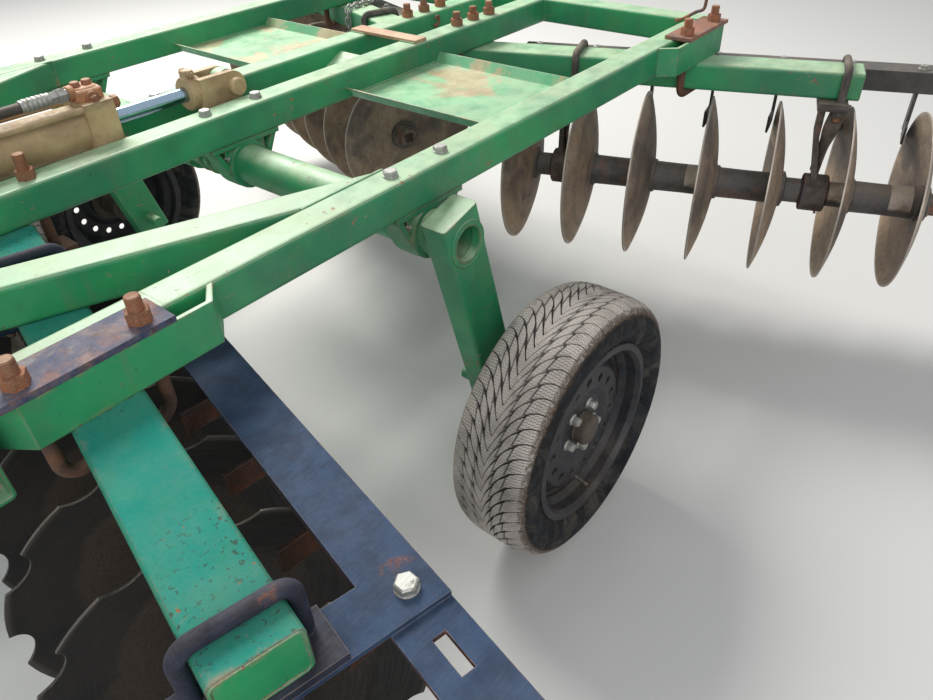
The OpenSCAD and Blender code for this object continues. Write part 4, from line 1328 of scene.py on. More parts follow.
@dataclass
class Tyre:
    """Winter tyre: arms of a V tread on a grid sheared along them, links, shoulders, walls."""

    side: int
    body: Body
    node: str
    pitches: int = 60
    arm: float = 3.1
    depth: float = 6.0
    half: float = 78.0

    def stations(self) -> tuple[np.ndarray, np.ndarray, np.ndarray]:
        """Cross-section from the left bead over the crown to the right one and back inside.

        Returns:
            Place across (y), radius, and zone (0 tread, 1 shoulder, 2 wall) of each row.
        """
        links = np.array([0.0, 0.05, 0.10, 0.16, 0.215, 0.24, 0.257, 0.285, 0.302, 0.33, 0.38,
                          0.44, 0.50, 0.55, 0.575, 0.592, 0.62, 0.637, 0.66, 0.71, 0.76, 0.80,
                          0.84, 0.88, 0.92, 0.96, 1.0])
        crown_y = links * self.half
        crown = np.column_stack([crown_y, np.interp(
            crown_y, [0, 35, 50, 63, 72, 78], [298, 298, 296.6, 294, 290.4, 286.6])])
        wall = np.array([(80.5, 284.6), (83, 281.5), (85, 278), (86.8, 273.5), (88.2, 270.5),
                         (88, 269.6), (89.6, 268.8), (91.6, 262), (93.6, 255), (94.9, 249.6),
                         (94.3, 248.6), (94.4, 246.5), (94.9, 245.4), (93.6, 239), (91, 232),
                         (87, 225), (85.4, 222), (85.8, 220.4), (84.6, 218.4), (80, 212.5),
                         (75.4, 207.6), (73.4, 202), (72.0, 197.0), (69.4, 193.0),
                         (65.8, 191.2)])
        inner = np.array([(53, 190.9), (63, 218), (70, 262), (52, 281), (20, 284)])
        other = np.array([-1, 1])
        y, r = np.concatenate([wall[::-1], crown[::-1], crown[1:] * other, wall * other,
                               inner * other, inner[::-1]]).T
        outer = np.arange(len(y)) < len(y) - 2 * len(inner)
        zone = np.where(outer, np.interp(
            np.abs(y), [70, 79, 84, 87.5, 89.5], [0.0, 0.8, 1.0, 1.2, 2.0]), 2.0)
        return y, r, np.where((r < 262) & outer, 2.0, zone)

    def columns(self, across: np.ndarray) -> tuple[np.ndarray, np.ndarray]:
        """Where each column lies around the tyre, in pitches, and whether it is groove.

        The column at part c of a pitch lies at c + arm (1 - (1 - u)^2) + 0.35 tanh(y / 9),
        with u the distance from the crown's middle over the half width. The groove's share of
        a pitch falls from 0.12 at the middle to 0.04 at the shoulder.

        Args:
            across: y of each row.

        Returns:
            Rows x columns of pitches, and the same of 0 on land and 1 in the groove.
        """
        u = np.clip(np.abs(across) / self.half, 0, 1)[:, None]
        share, wall = 0.12 - 0.08 * u, 0.02
        land = np.linspace(0, 1, 9)[None] * (1 - share - 2 * wall)
        parts = np.concatenate([land, 1 - share - wall, np.broadcast_to(1 - wall, share.shape)], 1)
        turn = self.arm * (1 - (1 - u) ** 2) + 0.35 * np.tanh(across[:, None] / 9)
        whole = (np.arange(self.pitches)[:, None] + np.zeros(11)).reshape(-1)
        column = np.tile(parts, (1, self.pitches)) + whole + turn
        groove = np.tile(np.concatenate([np.zeros(9), np.ones(2)]), self.pitches)
        return column, np.broadcast_to(groove, column.shape)

    def make(self) -> None:
        """Builds the tyre in the CAD tyre's place."""
        y, r, zone = self.stations()
        column, groove = self.columns(y)
        u = np.abs(y)[:, None] / self.half
        outer = (np.arange(len(y)) < len(y) - 10)[:, None]
        part = np.mod(np.arange(column.shape[1]), 11)[None] / 8.0
        on_land = (groove < 0.5) & (part <= 1.0)
        slant = 0.085 * (np.clip(part, 0, 1) - 0.5)
        lean = sum(np.exp(-((u - c) / 0.09) ** 2) for c in (0.272, 0.606))
        y2 = y[:, None] + np.sign(y)[:, None] * self.half * slant * lean * outer
        fade = np.interp(np.abs(y), [0, 74, 80, 86], [1, 1, 0.7, 0.0])[:, None]
        link = sum(((u > a) & (u < b)) for a, b in ((0.25, 0.292), (0.585, 0.627)))
        middle = (np.abs(part - 0.5) < 0.52) & on_land
        sunk = np.maximum(groove * fade, 0.72 * link * middle * (u < 1)) * outer
        radius = r[:, None] - self.depth * sunk
        angle = column * 2 * math.pi / self.pitches
        rows = np.stack([radius * np.cos(angle), y2 + np.zeros_like(angle),
                         radius * np.sin(angle)], -1)
        shell = woven(rows, True).moved(shift(*WHEEL_AT))
        if self.side < 0:
            shell = shell.moved(MIRROR_Y)
        piece = make_piece(self.node + "_tread", shell, Coat.TYRE, self.body, 30.0)
        self.mark(piece.data, angle / (2 * math.pi), 1 - sunk, zone)
        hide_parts(self.node)

    def mark(self, mesh: bpy.types.Mesh, around: np.ndarray, land: np.ndarray,
             zone: np.ndarray) -> None:
        """Stores the pattern's own coordinates on the mesh.

        Args:
            mesh: the tyre's mesh.
            around: turns around the axle of each point.
            land: 1 on land, 0 at a groove's bottom.
            zone: zone of each row.
        """
        m, n = around.shape
        for name, value in (("land", land), ("zone", zone[:, None] + np.zeros((m, n)))):
            mesh.attributes.new(name, "FLOAT", "POINT").data.foreach_set(
                "value", value.astype(np.float32).ravel())
        wide = np.concatenate([around, around[:, :1] + 1], 1)
        wide = np.concatenate([wide, wide[:1]])
        grid = np.stack([wide, np.arange(m + 1)[:, None] / m + np.zeros((m + 1, n + 1))], -1)
        uv = np.stack([grid[:-1, :-1], grid[:-1, 1:], grid[1:, 1:], grid[1:, :-1]], 2)
        if self.side < 0:
            uv = uv[:, :, ::-1]
        mesh.uv_layers.new(name="around").data.foreach_set("uv", uv.astype(np.float32).ravel())


@dataclass
class WheelTrim(Trim):
    """Lug bolts, cap and valve of a wheel."""

    side: int
    body: Body
    name: str
    face: float = 41.0
    bolt_circle: float = 54.0

    def bolts(self) -> Shell:
        """Five cone-seated bolts in a circle about the axle.

        Returns:
            The bolts, in the wheel's own axes.
        """
        bolt = joined([lathe([(13.4, -1.0), (13.4, 0.6), (10.6, 3.6)], 20),
                       stacked([(hexagon(9.5), 3.0), (hexagon(9.5), 14.6), (circle(9.4, 6), 17.0),
                                (circle(5.0, 6), 17.6)])])
        return joined([bolt.at((self.bolt_circle * math.cos(t), self.bolt_circle * math.sin(t),
                                self.face), ALONG_Z, (math.cos(t * 3), math.sin(t * 3), 0))
                       for t in np.radians(np.arange(5) * 72 + 20)])

    def cap(self) -> Shell:
        """Grease cap: a pressed dome with a rolled foot, turned about the axle."""
        return lathe([(34.6, 40.6), (37.2, 41.2), (37.6, 43.4), (35.2, 45.2), (34.5, 62.0),
                      (33.2, 66.4), (29.6, 69.0), (20.0, 70.6), (0.4, 71.2)], 48)

    def valve(self) -> Shell:
        """Rubber valve with its cap, leaning out of the rim's well.

        Returns:
            The valve, in the wheel's own axes.
        """
        stem = lathe([(7.2, -4), (7.2, 1), (4.6, 5), (4.2, 20), (3.4, 21), (3.4, 23), (5.0, 23.4),
                      (5.0, 33), (4.0, 34.6), (0.4, 34.8)], 14)
        return stem.at((0, 160.5, 38), (0, 0.25, 1.0))

    def pieces(self) -> list[tuple]:
        """The wheel's pieces, carried so that their Z runs out of it along its axle.

        Returns:
            A row for make_piece for each piece.
        """
        out = shift(*WHEEL_AT) @ basis((0, 0, 0), ALONG_Y)
        out = MIRROR_Y @ out if self.side < 0 else out
        return [(self.name + key, shell.moved(out), coat, self.body) for key, shell, coat in (
            ("_lug_bolts", self.bolts(), Coat.ZINC), ("_cap", self.cap(), Coat.HUB),
            ("_valve", self.valve(), Coat.HOSE))]


# ---------------------------------------------------------------- camera and studio

@dataclass
class Lens:
    """Camera at the photograph's place, its axes fitted to the frame's tubes."""

    place: tuple = (0.928, 1.545, 1.413)
    ahead: tuple = (-0.603, -0.516, -0.609)
    right: tuple = (-0.628, 0.777, -0.036)
    focal: float = 28.54

    def make(self) -> None:
        """Sets up the camera."""
        data = bpy.data.cameras.new("view")
        data.lens, data.sensor_width, data.sensor_fit = self.focal, 36.0, "HORIZONTAL"
        data.clip_start, data.clip_end = 0.02, 200.0
        back = -np.array(self.ahead) / np.linalg.norm(self.ahead)
        turned = shift(Origin.shaft_x) @ basis(self.place, tuple(back), self.right)
        camera = bpy.data.objects.new("view", data)
        camera.matrix_world = Matrix(turned.tolist())
        bpy.context.scene.collection.objects.link(camera)
        bpy.context.scene.camera = camera


@dataclass
class Studio:
    """Pale floor, pale surround and soft lamps at a plain level."""

    floor_radius: float = 12000.0
    key_power: float = 500.0
    fill_power: float = 90.0
    sky: float = 0.5

    def floor(self) -> None:
        """A thin round floor whose colour stays even where the camera sees it."""
        made = bpy.data.materials.new("studio_floor")
        made.use_nodes = True
        for key, value in (("Base Color", (0.62, 0.62, 0.61, 1.0)), ("Roughness", 0.9),
                           ("Specular IOR Level", 0.1)):
            feed(made.node_tree.nodes["Principled BSDF"].inputs[key], value)
        mesh_object("studio_floor", lathe(
            [(self.floor_radius, -12.0), (self.floor_radius, -0.5)], 96), made)

    def lamp(self, name: str, place: tuple, target: tuple, size: float, power: float,
             color: tuple = (1.0, 1.0, 1.0)) -> None:
        """Square area lamp that looks at a target.

        Args:
            name: name of the lamp.
            place: its place in metres, from the lifting shaft.
            target: what it looks at.
            size: side of its square.
            power: watts.
            color: colour of its light.
        """
        data = bpy.data.lights.new(name, "AREA")
        data.size, data.energy, data.color = size, power, color
        lamp = bpy.data.objects.new(name, data)
        back = np.array(place) - np.array(target)
        turned = shift(Origin.shaft_x) @ basis(place, tuple(back), (1.0, 0.2, 0.0))
        lamp.matrix_world = Matrix(turned.tolist())
        bpy.context.scene.collection.objects.link(lamp)

    def surround(self) -> None:
        """World that lights softly and shows pale to the camera, to gloss and through glass."""
        world = bpy.data.worlds.new("studio")
        bpy.context.scene.world = world
        world.use_nodes = True
        tree = world.node_tree
        tree.nodes.clear()
        rays = add_node(tree, "LightPath").socket.node.outputs
        camera, gloss, glass = (Field(rays[f"Is {kind} Ray"])
                                for kind in ("Camera", "Glossy", "Transmission"))
        strength = add_node(tree, "MapRange", {0: camera.most(gloss).most(glass), 1: 0.0, 2: 1.0,
                                               3: self.sky, 4: 0.86})
        glow = add_node(tree, "Background", {0: (0.96, 0.98, 1.0, 1.0), 1: strength})
        tree.links.new(glow.socket, tree.nodes.new("ShaderNodeOutputWorld").inputs[0])

    def make(self) -> None:
        """Sets up floor, surround and lamps."""
        self.floor()
        self.surround()
        self.lamp("key", (-1.6, -3.6, 5.0), (0, 0.2, 0.4), 2.6, self.key_power,
                  (1.0, 0.97, 0.92))
        self.lamp("fill", (3.2, 3.4, 3.0), (0, 0.4, 0.5), 3.0, self.fill_power)
        bpy.context.scene.view_settings.view_transform = "Standard"


# ---------------------------------------------------------------- frame trim

@dataclass
class FrameTrim(Trim):
    """Bolts, threaded stud ends, nipples and welds of the fixed frame."""

    rail_top: float = 862.0
    rail_under: float = 792.0
    rail_front: float = 815.0
    rail_rear: float = -1180.0
    rails: tuple = (650.0, 96.0)
    shaft_z: float = 732.0
    clamps: tuple = (675.7, -1076.9)
    pocket_y: float = 702.5
    clamp_gap: float = 81.0
    front_bolt: float = 533.4
    rear_bolt: float = -863.3
    bolt_gap: float = 75.0
    brace_back: float = 150.0
    brace_y: float = 350.0
    rail_inner: float = 615.0
    tray_x: float = -490.0

    def bearing_bolts(self) -> Shell:
        """Plated bolts that hold the shaft's bearings, through the tops of the rails.

        Returns:
            The bolts of both sides.
        """
        head = bolt_head(12.0, 9.0, 14.4)
        return joined([head.at((x, y, self.rail_top), ALONG_Z, (math.cos(x + y), math.sin(x + y),
                                                                0))
                       for x in (-68, 68) for y in self.rails]).both_sides()

    def stud_ends(self) -> Shell:
        """Threads of the clamping bolts above their nuts.

        Returns:
            The threads of both sides.
        """
        y = self.rails[1]
        rows = [(888, 910.3, x + s * self.clamp_gap, self.pocket_y)
                for x in self.clamps for s in SIDES]
        rows += [(879, 910.3, self.front_bolt + s * self.bolt_gap, y) for s in SIDES]
        rows += [(879, 898.3, self.rear_bolt + s * self.bolt_gap, y) for s in (-1, 0, 1)]
        return joined([stud_end(9.9, low, high, 3.4).moved(shift(x, y))
                       for low, high, x, y in rows]).both_sides()

    def nipples(self) -> Shell:
        """Grease nipples on the shaft's bearings, tilted up in front.

        Returns:
            The nipples of both sides.
        """
        one = nipple(4.6, 5.0, [(3.0, 4.8), (2.6, 8.6), (3.3, 9.6), (3.3, 11.6), (2.2, 13.2),
                                (0.3, 13.5)], 14)
        reach, tilt = 89 / 2 + 9.0, math.radians(28)
        d = (math.cos(tilt), 0.0, math.sin(tilt))
        return joined([one.at((reach * d[0], y + 18, self.shaft_z + reach * d[2]), d, ALONG_Y)
                       for y in self.rails]).both_sides()

    def welds(self) -> Shell:
        """Weld beads where the frame's pieces meet.

        Returns:
            The beads on rails, pockets, slanting tubes, trays and bearings.
        """
        top, low, front = self.rail_top, self.rail_under, self.rail_front
        round_rail = ((-31, low + 4), (-35.5, low + 8), (-35.5, top - 6), (-29, top + 0.3),
                      (29, top + 0.3), (35.5, top - 6), (35.5, low + 8), (31, low + 4))
        seams = [([(x, y + a, z) for a, z in round_rail], 3.8, ALONG_X)
                 for y in self.rails for x in (front, self.rail_rear)]
        for middle in (self.clamps[0] - 38, self.clamps[1] + 40):
            seams += [([(middle + s * 161, 685.5, z) for z in (low + 3, top - 3)], 3.6, ALONG_Y)
                      for s in SIDES]
        turn = math.atan2(self.rail_inner - self.brace_y, front - self.brace_back)
        half, corners = 35 / math.cos(turn), ((-1, low + 5), (-1, top - 2), (1, top - 2),
                                              (1, low + 5))
        seams.append(([(front - (self.rail_inner - self.brace_y - s * half) / math.tan(turn),
                        self.rail_inner + 0.3, z) for s, z in corners], 3.6, ALONG_Y))
        seams.append(([(front + 0.3, self.brace_y + s * half, z) for s, z in corners], 3.6,
                      ALONG_X))
        seams += [([(self.tray_x + s * 156, y, low + 8.6) for s in SIDES], 2.6)
                  for y in (131.0, self.rail_inner)]
        seams += [([(x, y + s * 28, low - 1) for s in SIDES], 2.6, ALONG_X)
                  for x in (-92.0, 92.0) for y in self.rails]
        return joined([weld_bead(*seam) for seam in seams]).both_sides()

    def tie_welds(self) -> Shell:
        """Short welds at the ends of the flat bar between the centre rails."""
        return joined([weld_bead([(x, 70, 862.5), (x, 122, 862.5)], 2.8)
                       for x in (-625, -580)]).both_sides()

    def pieces(self) -> list[tuple]:
        """The frame's pieces.

        Returns:
            A row for make_piece for each piece.
        """
        return [("bearing_bolts", self.bearing_bolts(), Coat.ZINC, Body.FRAME),
                ("stud_threads", self.stud_ends(), Coat.STUDS, Body.FRAME),
                ("grease_nipples", self.nipples(), Coat.ZINC, Body.FRAME),
                ("frame_welds", self.welds(), Coat.PAINT, Body.FRAME, 60),
                ("tie_welds", self.tie_welds(), Coat.PAINT, Body.FRAME, 60)]


@dataclass
class LiftTrim(Trim):
    """Rings and welds of the lifting shaft and its arms."""

    shaft_z: float = 732.0
    arm_in: float = 706.0
    arm_out: float = 766.0

    def end_rings(self) -> Shell:
        """Thin ring pressed into the open end of the shaft's pipe.

        Returns:
            Both rings.
        """
        y0, y1 = self.arm_out - 18, self.arm_out + 2.4
        ring = lathe([(34.4, y0), (37.3, y0), (37.3, y1 - 0.8), (36.6, y1), (35.2, y1),
                      (34.4, y1 - 0.9)], 56, True)
        return ring.at((0, 0, self.shaft_z), ALONG_Y).both_sides()

    def welds(self) -> Shell:
        """Beads round the shaft at the arms and at the lever, and round the stub axles.

        Returns:
            The beads of both sides.
        """
        x, _, z = WHEEL_AT
        rings = (((0, self.arm_in - 0.5, self.shaft_z), 45.5, 4.6),
                 ((0, self.arm_out + 0.4, self.shaft_z), 45.0, 2.8),
                 ((x, self.arm_out + 0.5, z), 26.0, 4.0), ((0, 16.0, self.shaft_z), 45.5, 4.4))
        return joined([weld_bead(loop(centre, radius, 48, ALONG_X, ALONG_Z), bead, ALONG_Y, True)
                       for centre, radius, bead in rings]).both_sides()

    def pieces(self) -> list[tuple]:
        """The lifting shaft's pieces."""
        return [("shaft_end_rings", self.end_rings(), Coat.PAINT, Body.SHAFT),
                ("lift_welds", self.welds(), Coat.PAINT, Body.SHAFT, 60)]


@dataclass
class LooseTrim(Trim):
    """Chain over the rear right beam, an eye on a centre rail and a bent rod on the corner."""

    wire: float = 2.9
    half: float = 8.6
    straight: float = 8.0
    link_pitch: float = 22.2

    def link(self) -> Shell:
        """One link of the chain, long along X, flat in XY.

        Returns:
            The link about its own middle.
        """
        path = loop((0, 0, 0), self.half, 28, ALONG_X, ALONG_Y)
        path[:, 0] += self.straight * np.sign(path[:, 0].round(6))
        return swept(path, self.wire, closed=True)

    def chain(self) -> Shell:
        """Chain laid over the beam and hanging in front of it, each link a quarter turn on.

        Returns:
            The links, as many as the path is long.
        """
        path = smooth_path([(-146, 486, 316), (-132, 484, 322), (-84, 470, 322),
                            (-44, 455, 321.5), (-27, 451, 308), (-24.5, 450, 276),
                            (-24, 449, 206)], 24)
        run = distance_run(path)
        middles = (np.arange(int(run[-1] / self.link_pitch)) + 0.5) * self.link_pitch
        stations = np.stack([np.interp(middles, run, path[:, k]) for k in range(3)], -1)
        link, parts = self.link(), []
        for k, (at, along) in enumerate(zip(stations, np.gradient(stations, axis=0))):
            x = along / np.linalg.norm(along)
            y = np.cross(x, (0.3, 0.9, 0.2))
            y /= np.linalg.norm(y)
            a = math.radians(45 + 90 * k)
            parts.append(link.at(at, math.cos(a) * np.cross(x, y) - math.sin(a) * y, x))
        return joined(parts).moved(GANGS[3].matrix())

    def rusty(self) -> Shell:
        """The eye welded to the centre rail and the rod that lies bent over the corner.

        Returns:
            The eye and the rod.
        """
        t = np.linspace(0.5, 5.7, 22)
        eye = np.stack([-869 + 13 * np.cos(t) * 0.8, -52 + 4 * np.sin(t), 838 + 15 * np.sin(t)], -1)
        rod = smooth_path([(-1128, 606, 866.6), (-1150, 616, 867.4), (-1176, 640, 882),
                           (-1186, 657, 890), (-1190, 660, 912), (-1191, 661, 946)], 6)
        return joined([swept(eye, 4.0, 12, (0, 1, 0.1)), swept(rod, 4.6, 14, (0.2, -0.9, 0.1))])

    def pieces(self) -> list[tuple]:
        """The loose pieces."""
        return [("beam_chain", self.chain(), Coat.ZINC, Body.FRAME, 60),
                ("bent_rod", self.rusty(), Coat.RUSTY, Body.FRAME, 60)]


@dataclass
class DrawbarTrim(Trim):
    """Welds of the drawbar, the jack's locking pin and the hoses' coupler ends."""

    hitch: tuple = (2100.0, 500.0)
    jack: tuple = (1640.0, 255.1, 430.0)
    front: float = 915.0
    tie: float = 1400.0
    leg_run: tuple = (1125.0, 394.0, 292.0)

    def leg(self, x: float) -> tuple[float, float]:
        """Middle of the left leg's Y and Z at a distance ahead of the lifting shaft."""
        share = (x - self.front) / self.leg_run[0]
        return 420 - share * self.leg_run[1], 792 - share * self.leg_run[2]

    def welds(self) -> Shell:
        """Beads round the legs' ends, along the hitch head, on the tie and the ears.

        Returns:
            The beads.
        """
        wide = 35 / math.cos(math.atan2(self.leg_run[1], self.leg_run[0])) + 0.5
        y, z = self.leg(self.front)
        h, level = self.hitch
        beads = [weld_bead([(self.front + 0.4, y + a * wide, z + b * 36.5)
                            for a, b in ((-1, -1), (1, -1), (1, 1), (-1, 1))], 4.0, ALONG_X, True),
                 weld_bead([(1775, 55.4, 545.2), (1990, 55.4, 545.2)], 3.8),
                 weld_bead([(x, self.leg(x)[0] - wide, self.leg(self.tie)[1] + 5.4)
                            for x in (self.tie - 33, self.tie + 33)], 3.2)]
        beads += [weld_bead([(h - 40, y, level + s * 45.2) for y in (0.2, 39.5)], 3.4)
                  for s in SIDES]
        return joined(beads).both_sides()

    def pin(self) -> Shell:
        """Locking pin of the jack's sleeve with a ring handle and a spring clip.

        Its two ends stop in the sleeve's walls, so the leg slides past them.

        Returns:
            Both ends, the ring and the clip.
        """
        x, y, z = self.jack
        tail = lathe([(7.5, -46), (8.5, -44), (8.5, -25.6)], 24)
        head = lathe([(8.5, 25.6), (8.5, 40), (12, 41), (12, 48), (10, 50)], 24)
        clip = np.array([(0, -41, 8), (0, -41, -14), (6, -41, -24), (12, -41, -14),
                         (9, -41, -2), (13, -41, 10)]) + self.jack
        return joined([joined([tail, head]).at(self.jack, ALONG_Y),
                       swept(loop((x, y + 62, z), 15, 24, ALONG_Y, ALONG_Z), 2.6, 8, ALONG_X,
                             True),
                       swept(smooth_path(clip, 5), 1.9, 8, ALONG_Y)])

    def couplers(self) -> Shell:
        """Knurled sleeves and plugs on the two hose ends.

        Returns:
            Both ends.
        """
        plug = lathe([(9.0, -4), (9.0, 4), (11.4, 6), (11.4, 15), (8.6, 18), (8.6, 27), (6.5, 30)],
                     24)
        knurl = [(r, z + 6 * step) for step in range(7)
                 for r, z in ((14.6, -50), (14.6, -47), (13.6, -45.6))]
        one = joined([plug, lathe([(13.2, -52), *knurl, (13.2, -8)], 28)])
        return joined([one.at((self.hitch[0] - 160, s * 15, self.hitch[1] + 58), ALONG_X)
                       for s in SIDES])

    def pieces(self) -> list[tuple]:
        """The drawbar's pieces.

        Returns:
            A row for make_piece for each piece.
        """
        return [("drawbar_welds", self.welds(), Coat.PAINT, Body.FRAME, 60),
                ("jack_pin", self.pin(), Coat.ZINC, Body.FRAME),
                ("coupler_ends", self.couplers(), Coat.ZINC, Body.FRAME)]


# ---------------------------------------------------------------- hydraulics

@dataclass
class Ram(Trim):
    """Ports, caps, tie-rod nuts and pins of the lifting cylinder."""

    base: tuple = (655.0, 890.0)
    head_at: float = 420.0
    barrel_low: float = 76.0
    barrel_r: float = 46.0
    clevis: float = 105.0
    lever: float = 160.0
    shaft_z: float = 732.0
    lean: float = math.radians(21)

    def span(self) -> tuple[float, float]:
        """How far the lever's pin lies behind the base pin, and how far below it."""
        return (self.base[0] + self.lever * math.sin(self.lean),
                self.base[1] - self.shaft_z - self.lever * math.cos(self.lean))

    def along(self) -> np.ndarray:
        """Matrix from the cylinder's own axes, X towards the lever and Z up, to the machine.

        Returns:
            The matrix.
        """
        run, rise = self.span()
        turn = math.atan2(rise, run)
        c, s = math.cos(turn), math.sin(turn)
        return np.array([[-c, 0, -s, self.base[0]], [0, -1, 0, 0], [-s, 0, c, self.base[1]],
                         [0, 0, 0, 1.0]])

    def castings(self) -> Shell:
        """Port bosses, gland ring and rounded caps on the two end blocks, as cast.

        Returns:
            The cast parts of the barrel.
        """
        head, low, top = self.head_at, self.barrel_low, self.barrel_r + 8
        block = joined([prism(rounded(58, 66, 12), top - 2, top + 21, 3.0),
                        prism(rounded(46, 52, 14), top + 19, top + 23.7, 2.3)])
        port = lathe([(13.4, -3), (14.4, 0), (14.4, 7), (13, 9)], 28)
        ring = lathe([(16.6, -1), (30, -1), (30, 5), (28, 8), (21, 8), (19, 11), (16.6, 11)], 40,
                     True)
        return joined([block.moved(shift(head - 31)), block.moved(shift(low + 22)),
                       port.at((head - 59, -14, top + 18), (-1, 0, 0)),
                       port.at((low - 6, 14, top + 15), (-1, 0, 0)),
                       ring.at((head, 0, 0), ALONG_X)]).moved(self.along())

    def fasteners(self) -> Shell:
        """Tie-rod nuts, cap bolts and square plugs.

        Returns:
            The barrel's nuts, bolts and plugs.
        """
        head, low, c, top = self.head_at, self.barrel_low, self.barrel_r - 2, self.barrel_r + 8
        nut, bolt = prism(hexagon(11.5), 0, 12, 1.0), bolt_head(8.5, 6.0, 10.5)
        plug = joined([lathe([(13, -2), (14, 0), (14, 4), (12.6, 5.5)], 24),
                       prism(rounded(13, 13, 2), 4, 15, 1.0)])
        parts = [nut.at((x, a * c, b * c), (d, 0, 0), (0, 1, 0.2))
                 for a in SIDES for b in SIDES for x, d in ((head, 1), (low - 10, -1))]
        parts += [bolt.at((head - 31 + dx, 0, top + 24.3), ALONG_Z, (1, dx, 0))
                  for dx in (-11, 13)]
        parts += [plug.at((x, s * 33, top + 4), (0, s, 0), (1, 0, 0.3))
                  for x in (head - 31, low + 22) for s in SIDES]
        return joined(parts).moved(self.along())

    def fittings(self) -> Shell:
        """Plated hexagons and crimped sleeves where the hoses leave the ports.

        Returns:
            The fittings of both hoses.
        """
        crimps = [(r, 8 + step * 9 + z) for step in range(5)
                  for r, z in ((13.2, 0), (13.9, 2), (13.9, 5), (12.4, 7))]
        one = joined([prism(hexagon(13.5), -32, -15, 1.5), prism(hexagon(11.5), -15, 1, 1.0),
                      lathe([(10.5, -40), (10.5, -30)], 20),
                      lathe([(9.4, 0), (13.0, 0), (13.0, 3), (12.2, 5), *crimps, (13.0, 54),
                             (12.6, 57), (9.4, 57)], 24, True)])
        return joined([one.at((x, s * 14, 958), ALONG_X, (0, 1, 0.3))
                       for x, s in ((338, 1), (636, -1))])

    def pins(self) -> Shell:
        """Washers and split pins on the base pin.

        Returns:
            The parts on both ends of the pin.
        """
        x, z = self.base
        washer = lathe([(13.2, 0), (22, 0), (22, 3), (13.2, 3)], 28, True)
        split = swept(smooth_path([(x, 48.2, z + 21), (x, 48.2, z - 16), (x + 4, 49.2, z - 24)],
                                  5), 2.0, 8, ALONG_Y)
        eye = swept(loop((x, 48.2, z + 23), 4.5, 16, ALONG_Z, ALONG_X), 2.0, 8, ALONG_Y, True)
        return joined([washer.at((x, 42.2, z), ALONG_Y), split, eye]).both_sides()

    def fork(self) -> Shell:
        """Pinch collar with ribs, its clamping bolt and round bosses, on the fork.

        Returns:
            The parts that ride on the rod.
        """
        reach = math.hypot(*self.span())
        at = reach - self.clevis
        ribs = [(r, z + 6 * step) for step in range(4) for r, z in ((34.6, 6), (36.6, 9))]
        rings = lathe([(34.2, 1), (36.4, 3), *ribs[:-1], (36.2, 28), (34.2, 31)], 48)
        bolt = joined([prism(hexagon(8.0), 11, 19, 1.0), lathe([(5, -24), (5, 12)], 16),
                       prism(hexagon(8.0), -19, -11, 1.0)])
        boss = lathe([(19.6, -1), (19.6, 4), (17.4, 6.4), (12.0, 6.4), (11.0, 4.8), (0.3, 4.6)],
                     36)
        gap = (30 + 12) / 2 + 18 + 15
        return joined([
            rings.at((at, 0, 0), ALONG_X),
            prism(rounded(26, 22, 6), 32, 50, 2.0).at((at + 16, 0, 0)),
            bolt.at((at + 16, 0, 43), ALONG_Y), boss.at((reach, gap, 0), ALONG_Y),
            boss.at((reach, -gap, 0), (0, -1, 0))]).moved(self.along())

    def pieces(self) -> list[tuple]:
        """The cylinder's pieces.

        Returns:
            A row for make_piece for each piece.
        """
        return [("ram_castings", self.castings(), Coat.RUST_OCHRE, Body.BARREL),
                ("ram_fasteners", self.fasteners(), Coat.STUDS, Body.BARREL),
                ("hose_fittings", self.fittings(), Coat.ZINC, Body.BARREL),
                ("base_pin_parts", self.pins(), Coat.ZINC, Body.FRAME),
                ("fork_parts", self.fork(), Coat.OCHRE, Body.ROD)]


@dataclass
class Hoses:
    """Two hydraulic hoses, from the ports over the front cross tube and down the drawbar."""

    radius: float = 10.0
    steps: int = 10

    def knots(self, start: float, side: int) -> np.ndarray:
        """Points of a hose, as in the part's source, with a few more where it bends.

        Args:
            start: X of the port.
            side: 1 for the left hose, -1 for the right.

        Returns:
            The points, from the port to the coupler.
        """
        bar = DrawbarTrim()
        rows = np.array([
            (start, 14, 958), (start + 60, 14, 958), (0.5 * (start + 60) + 350, 14.6, 957),
            (700, 15, 953), (748, 15.4, 924), (792, 15.8, 889), (835, 16, 877), (880, 16, 876),
            (935, 16, 873), (1100, 16, 812), (1290, 16, 738),
            (1440, 16, bar.leg(bar.tie)[1] + 23), (1600, 15.6, 616), (1720, 15.2, 568),
            (1790, 15, 558.5), (1850, 15, 558)])
        return rows * (1, side, 1)

    def make(self) -> None:
        """Builds both hoses and hides the CAD hoses."""
        for key, start, side in (("left", 340.0, 1), ("right", 638.0, -1)):
            knots = self.knots(start, side)
            if side < 0:
                knots = np.concatenate([knots[:2], knots[4:]])
                knots[1] = (start + 24, side * 14, 957)
            shell = swept(smooth_path(knots, self.steps), self.radius, 20, ALONG_Y)
            piece = make_piece("hose_" + key, shell, Coat.HOSE, None, 60)
            Origin.point(start + 40, 0, 958)
            Origin.point(850, 0, 876)
            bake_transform(piece)
            if side > 0:
                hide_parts("hoses")


# ---------------------------------------------------------------- gangs' trim

